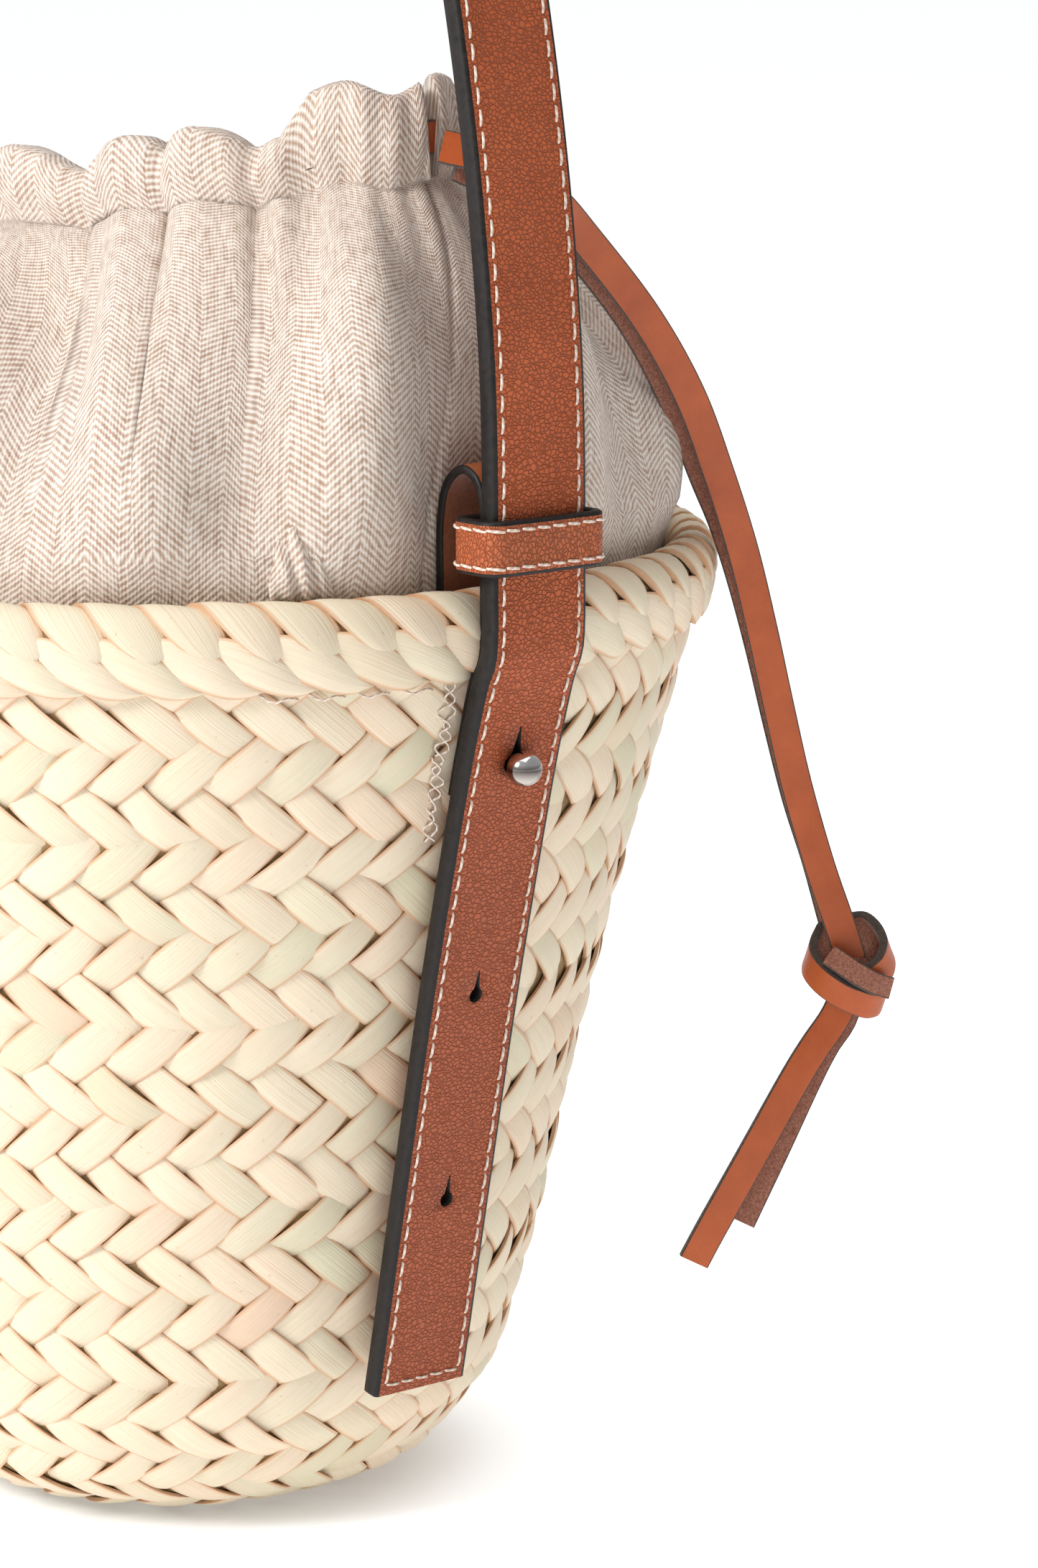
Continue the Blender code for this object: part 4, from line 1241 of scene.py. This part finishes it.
def make_keepers():
    """The stitched loops that hold the strap to its hangers."""
    section = flat_section(KEEPER_HEIGHT, KEEPER_THICKNESS)
    row_at = KEEPER_HEIGHT / 2 - 1.9 * MM
    for label, hand in SIDES:
        loop = keeper_loop(hand)
        up = np.tile(UP, (len(loop), 1))
        out = unit(np.cross(directions(loop, closed=True), up)) * hand
        order = int(hand)  # backwards on the left
        keeper = strip_piece(f"keeper_{label}_leather", [keeper_leather, edge_paint, strap_suede],
                             loop[::order], up, out[::order], section, closed=True)
        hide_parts(f"keeper_{label}")
        thread = Shell()
        ring, ring_out, ring_up = (np.vstack([rows, rows[:1]]) for rows in (loop, out, up))
        for offset in (-row_at, row_at):
            add_stitches(thread, stitch_run(ring, ring_up, ring_out, offset, SHORT_PITCH, -0.05 * MM))
        stitches = thread.finish(f"keeper_{label}_thread", [thread_wax])
        for piece in (keeper, stitches):
            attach(piece, f"keeper_{label}")


def make_hangers():
    """The folded leather loops over the rim, one on each side."""
    section = flat_section(HANGER_WIDTH, HANGER_THICKNESS)
    for label, hand in SIDES:
        line = smooth_line(upright(HANGER_RUN), 1.5 * MM) * np.array([hand, 1, 1])
        side = np.tile(-RIGHTWARD * hand, (len(line), 1))
        out = unit(np.cross(side, directions(line)))
        if out[len(line) // 3, 2] < 0:
            side, out = -side, -out
        hanger = strip_piece(f"hanger_{label}_leather", [hanger_leather, edge_paint, strap_suede],
                             line + out * HANGER_THICKNESS / 2, side, out, section)
        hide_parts(f"hanger_{label}")
        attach(hanger, "basket")


def make_studs():
    """The polished ball studs."""
    line = smooth_line(upright(STRAP_RUN), 0.5 * MM)
    k = int(np.argmin(np.abs(line[:, 2] - STUD_HEIGHT)))
    ahead = directions(line)[k]
    out = unit(np.cross(RIGHTWARD, ahead))
    turn = full_turn(48)[:, None]
    profile = [(2.0 * MM, -3.4 * MM), (1.6 * MM, -1.5 * MM)]
    for a in np.linspace(0.42, math.pi - 0.01, 26):
        profile.append((STUD_BALL * math.sin(a), STUD_CENTRE - STUD_BALL * math.cos(a)))
    for label, hand in SIDES:
        rings = []
        for radius, height in profile:
            ring = (RIGHTWARD * np.cos(turn) + ahead * np.sin(turn)) * radius
            rings.append((line[k] + out * height + ring) * np.array([hand, 1, 1]))
        grid = np.array(rings)[:, :: -int(hand)]
        stud = grid_piece(f"stud_{label}", steel, grid, np.zeros((len(profile), len(turn) + 1, 2)), caps=0)
        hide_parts(f"stud_ball_{label}")
        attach(stud, "basket")


# ---------------------------------------------------------------- drawstring

LACE_WIDTH, LACE_THICKNESS = 0.0070, 0.0020
LACE_BEARING = math.radians(49.9)
RIGHT = np.array([math.cos(LACE_BEARING), math.sin(LACE_BEARING), 0.0])
NEAR = np.array([math.sin(LACE_BEARING), -math.cos(LACE_BEARING), 0.0])
# each route is given as (along the bearing, across it towards the near side, height)
STRAND_A = (
    (0.0613, 0.0736, 0.3035), (0.0722, 0.0736, 0.3005), (0.0832, 0.0670, 0.2925), (0.0908, 0.0555, 0.2832),
    (0.1039, 0.0425, 0.2653), (0.1137, 0.0315, 0.2474), (0.1205, 0.0222, 0.2290), (0.1262, 0.0150, 0.2111),
    (0.1306, 0.0125, 0.1934), (0.1346, 0.0105, 0.1755), (0.1388, 0.0090, 0.1576), (0.1440, 0.0085, 0.1396),
    (0.1487, 0.0085, 0.1260), (0.1514, 0.0088, 0.1176),
)
STRAND_B = (
    (0.0643, 0.0711, 0.2996), (0.0728, 0.0675, 0.2952), (0.0805, 0.0615, 0.2887), (0.0895, 0.0502, 0.2800),
    (0.1018, 0.0370, 0.2630), (0.1110, 0.0258, 0.2450), (0.1176, 0.0165, 0.2280), (0.1221, 0.0125, 0.2170),
    (0.1263, 0.0095, 0.2042), (0.1307, 0.0075, 0.1880), (0.1348, 0.0060, 0.1710), (0.1392, 0.0045, 0.1540),
    (0.1438, 0.0040, 0.1396), (0.1476, 0.0050, 0.1260), (0.1498, 0.0060, 0.1190),
)
TAIL_A = (
    (0.1500, 0.0098, 0.1090), (0.1475, 0.0104, 0.1040), (0.1432, 0.0112, 0.0978), (0.1386, 0.0120, 0.0902),
    (0.1295, 0.0130, 0.0735), (0.1205, 0.0130, 0.0567), (0.1165, 0.0130, 0.0489),
)
TAIL_B = (
    (0.1514, 0.0060, 0.1090), (0.1494, 0.0062, 0.1030), (0.1460, 0.0064, 0.0978), (0.1422, 0.0066, 0.0902),
    (0.1348, 0.0070, 0.0735), (0.1272, 0.0072, 0.0567),
)
KNOT_CENTRE = (0.1505, 0.0080, 0.1163)
KNOT_BANDS = (  # the direction across each band, its width, which way it faces, and its way in millimetres
    ((0.22, 0.42, 0.88), LACE_WIDTH, 1.0, (
        (-2.5, -4.5, 7.6), (-6.4, -3.8, 6.2), (-8.9, -0.8, 3.2), (-9.0, 2.2, 0.4), (-6.4, 4.8, -2.6),
        (-2.0, 6.1, -5.6), (2.0, 6.2, -7.4), (5.4, 5.0, -8.6), (8.2, 2.4, -8.4), (8.7, -0.6, -7.0),
        (6.0, -3.0, -5.4))),
    ((-0.30, 0.45, 0.84), LACE_WIDTH, -1.0, (
        (-1.0, -4.8, 7.0), (2.2, -5.0, 8.4), (5.4, -4.2, 8.6), (8.4, -1.8, 6.6), (9.9, 1.2, 3.6),
        (9.0, 3.6, 0.2), (6.0, 4.6, -2.2), (2.0, 4.4, -3.2))),
    ((0.55, -0.30, 0.78), LACE_WIDTH, -1.0, (
        (-6.8, -2.0, 5.2), (-2.4, -0.4, 2.4), (2.2, 0.6, -1.4), (6.2, 0.4, -4.8))),
    ((0.80, -0.35, 0.48), LACE_WIDTH, -1.0, (
        (-0.4, -3.2, 8.0), (3.4, -2.4, 5.8), (5.4, -1.2, 2.0), (5.6, 0.0, -2.4))),
    ((0.42, -0.25, 0.87), 5.0 * MM, -1.0, (
        (-3.8, 3.8, 2.8), (-1.2, 5.2, 1.2), (2.0, 6.0, -0.9), (5.6, 5.8, -2.9), (9.0, 4.6, -4.2))),
)


def hung(points):
    """Points given as (along the bearing, across it, height), in the model's frame."""
    points = np.array(points, float)
    return points[..., :1] * RIGHT + points[..., 1:2] * NEAR + points[..., 2:] * UP


def lace_section(width=LACE_WIDTH):
    """The cross-section of the lace."""
    return flat_section(width, LACE_THICKNESS, soft=0.28 * MM)


def lace_along(name, line, side, out, closed=False):
    """A piece of the lace whose middle lies on a line."""
    return strip_piece(name, lace_materials, line + out * LACE_THICKNESS / 2, side, out,
                       lace_section(), closed=closed)


def lace_strip(name, route, twist):
    """One stretch of the lace along a route, its face turned by `twist` degrees from the near side."""
    line = smooth_line(hung(route), 2.0 * MM)
    ahead = directions(line)
    side = unit(np.cross(unit(NEAR + 0.2 * UP), ahead))
    out = unit(np.cross(ahead, side))
    share = np.linspace(0, 1, len(line))
    turn = np.radians(np.interp(share, np.linspace(0, 1, len(twist)), twist))[:, None]
    side, out = side * np.cos(turn) + out * np.sin(turn), out * np.cos(turn) - side * np.sin(turn)
    piece = lace_along(name, line, side, out)
    return piece, line


def make_knot():
    """The overhand knot, as bent stretches of lace round its middle."""
    shell = Shell()
    for axis, width, flip, points in KNOT_BANDS:
        line = hung(KNOT_CENTRE) + hung(smooth_line(np.array(points) * MM, 0.8 * MM))
        axis = unit(hung(axis))
        ahead = directions(line)
        side = unit(axis - ahead * (ahead @ axis)[:, None])
        out = unit(np.cross(ahead, side)) * flip
        sweep_strip(shell, line, side, out, lace_section(width))
    knot = shell.finish("lace_knot", lace_materials, crease=50)
    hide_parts("drawstring_knot")
    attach(knot, "basket")
    return knot


def make_loop():
    """The lace inside the channel, seen where it comes out of the slit."""
    turn = full_turn(120)
    x, y, foot = mouth_ring(turn, 0.0)
    line = np.stack([x, y, foot + CHANNEL_HEIGHT / 2], axis=1)
    side = np.tile(UP, (len(turn), 1))
    out = unit(np.cross(directions(line, closed=True), side))
    loop = lace_along("lace_loop", line, side, out, closed=True)
    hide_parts("drawstring_loop")
    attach(loop, "mouth")


def make_lace():
    """The two hanging strands, their overhand knot and its tails."""
    strand_a, line_a = lace_strip("lace_strand_a", STRAND_A, (0, 0))
    strand_b, line_b = lace_strip("lace_strand_b", STRAND_B, (180, 180))
    tail_a, line_c = lace_strip("lace_tail_a", TAIL_A, (0, -8, -12))
    tail_b, line_d = lace_strip("lace_tail_b", TAIL_B, (175, 178, 180))
    knot = make_knot()
    for strand, letter in ((strand_a, "a"), (strand_b, "b")):
        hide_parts(f"drawstring_strand_{letter}")
        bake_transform(strand)
    for tail, letter in ((tail_a, "a"), (tail_b, "b")):
        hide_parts(f"drawstring_tail_{letter}")
        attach(tail, "basket")


# ---------------------------------------------------------------- everything

make_camera()
palm = palm_material()
painted_shade_palm = painted_shade_palm_material()
linen = linen_material("linen_herringbone")
linen_plain = linen_material("linen_lining")
strap_leather = grained_leather("strap_leather", srgb("B1552C"), srgb("C76438"))
keeper_leather = grained_leather("keeper_leather", srgb("AE5832"), srgb("C66C42"))
hanger_leather = smooth_leather("hanger_leather", srgb("8C4520"), srgb("A55A2C"), 0.36)
strap_suede = suede_material("strap_suede", srgb("7A4024"), srgb("9A5A38"))
edge_paint = edge_material()
thread_wax = thread_material()
steel = steel_material()
lace_leather = smooth_leather("lace_leather", srgb("A54B1F"), srgb("BC5A28"), 0.34)
lace_suede = suede_material("lace_suede", srgb("7E4330"), srgb("C48C76"))
lace_edge = suede_material("lace_edge", srgb("3E332D"), srgb("66564B"))
lace_materials = [lace_leather, lace_edge, lace_suede]

make_lace()
make_loop()
plait_surface = PlaitSurface()
make_plait(plait_surface)
make_seam_threads(plait_surface)
make_rim()
make_pouch()
make_lining()
make_tab()
make_strap()
make_keepers()
make_hangers()
make_studs()

for start, material in (("stud_screw", steel), ("stud_backing", strap_suede)):
    for node_name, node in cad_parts.items():
        if node_name.startswith(start):
            node.data.materials.clear()
            node.data.materials.append(material)

make_studio()
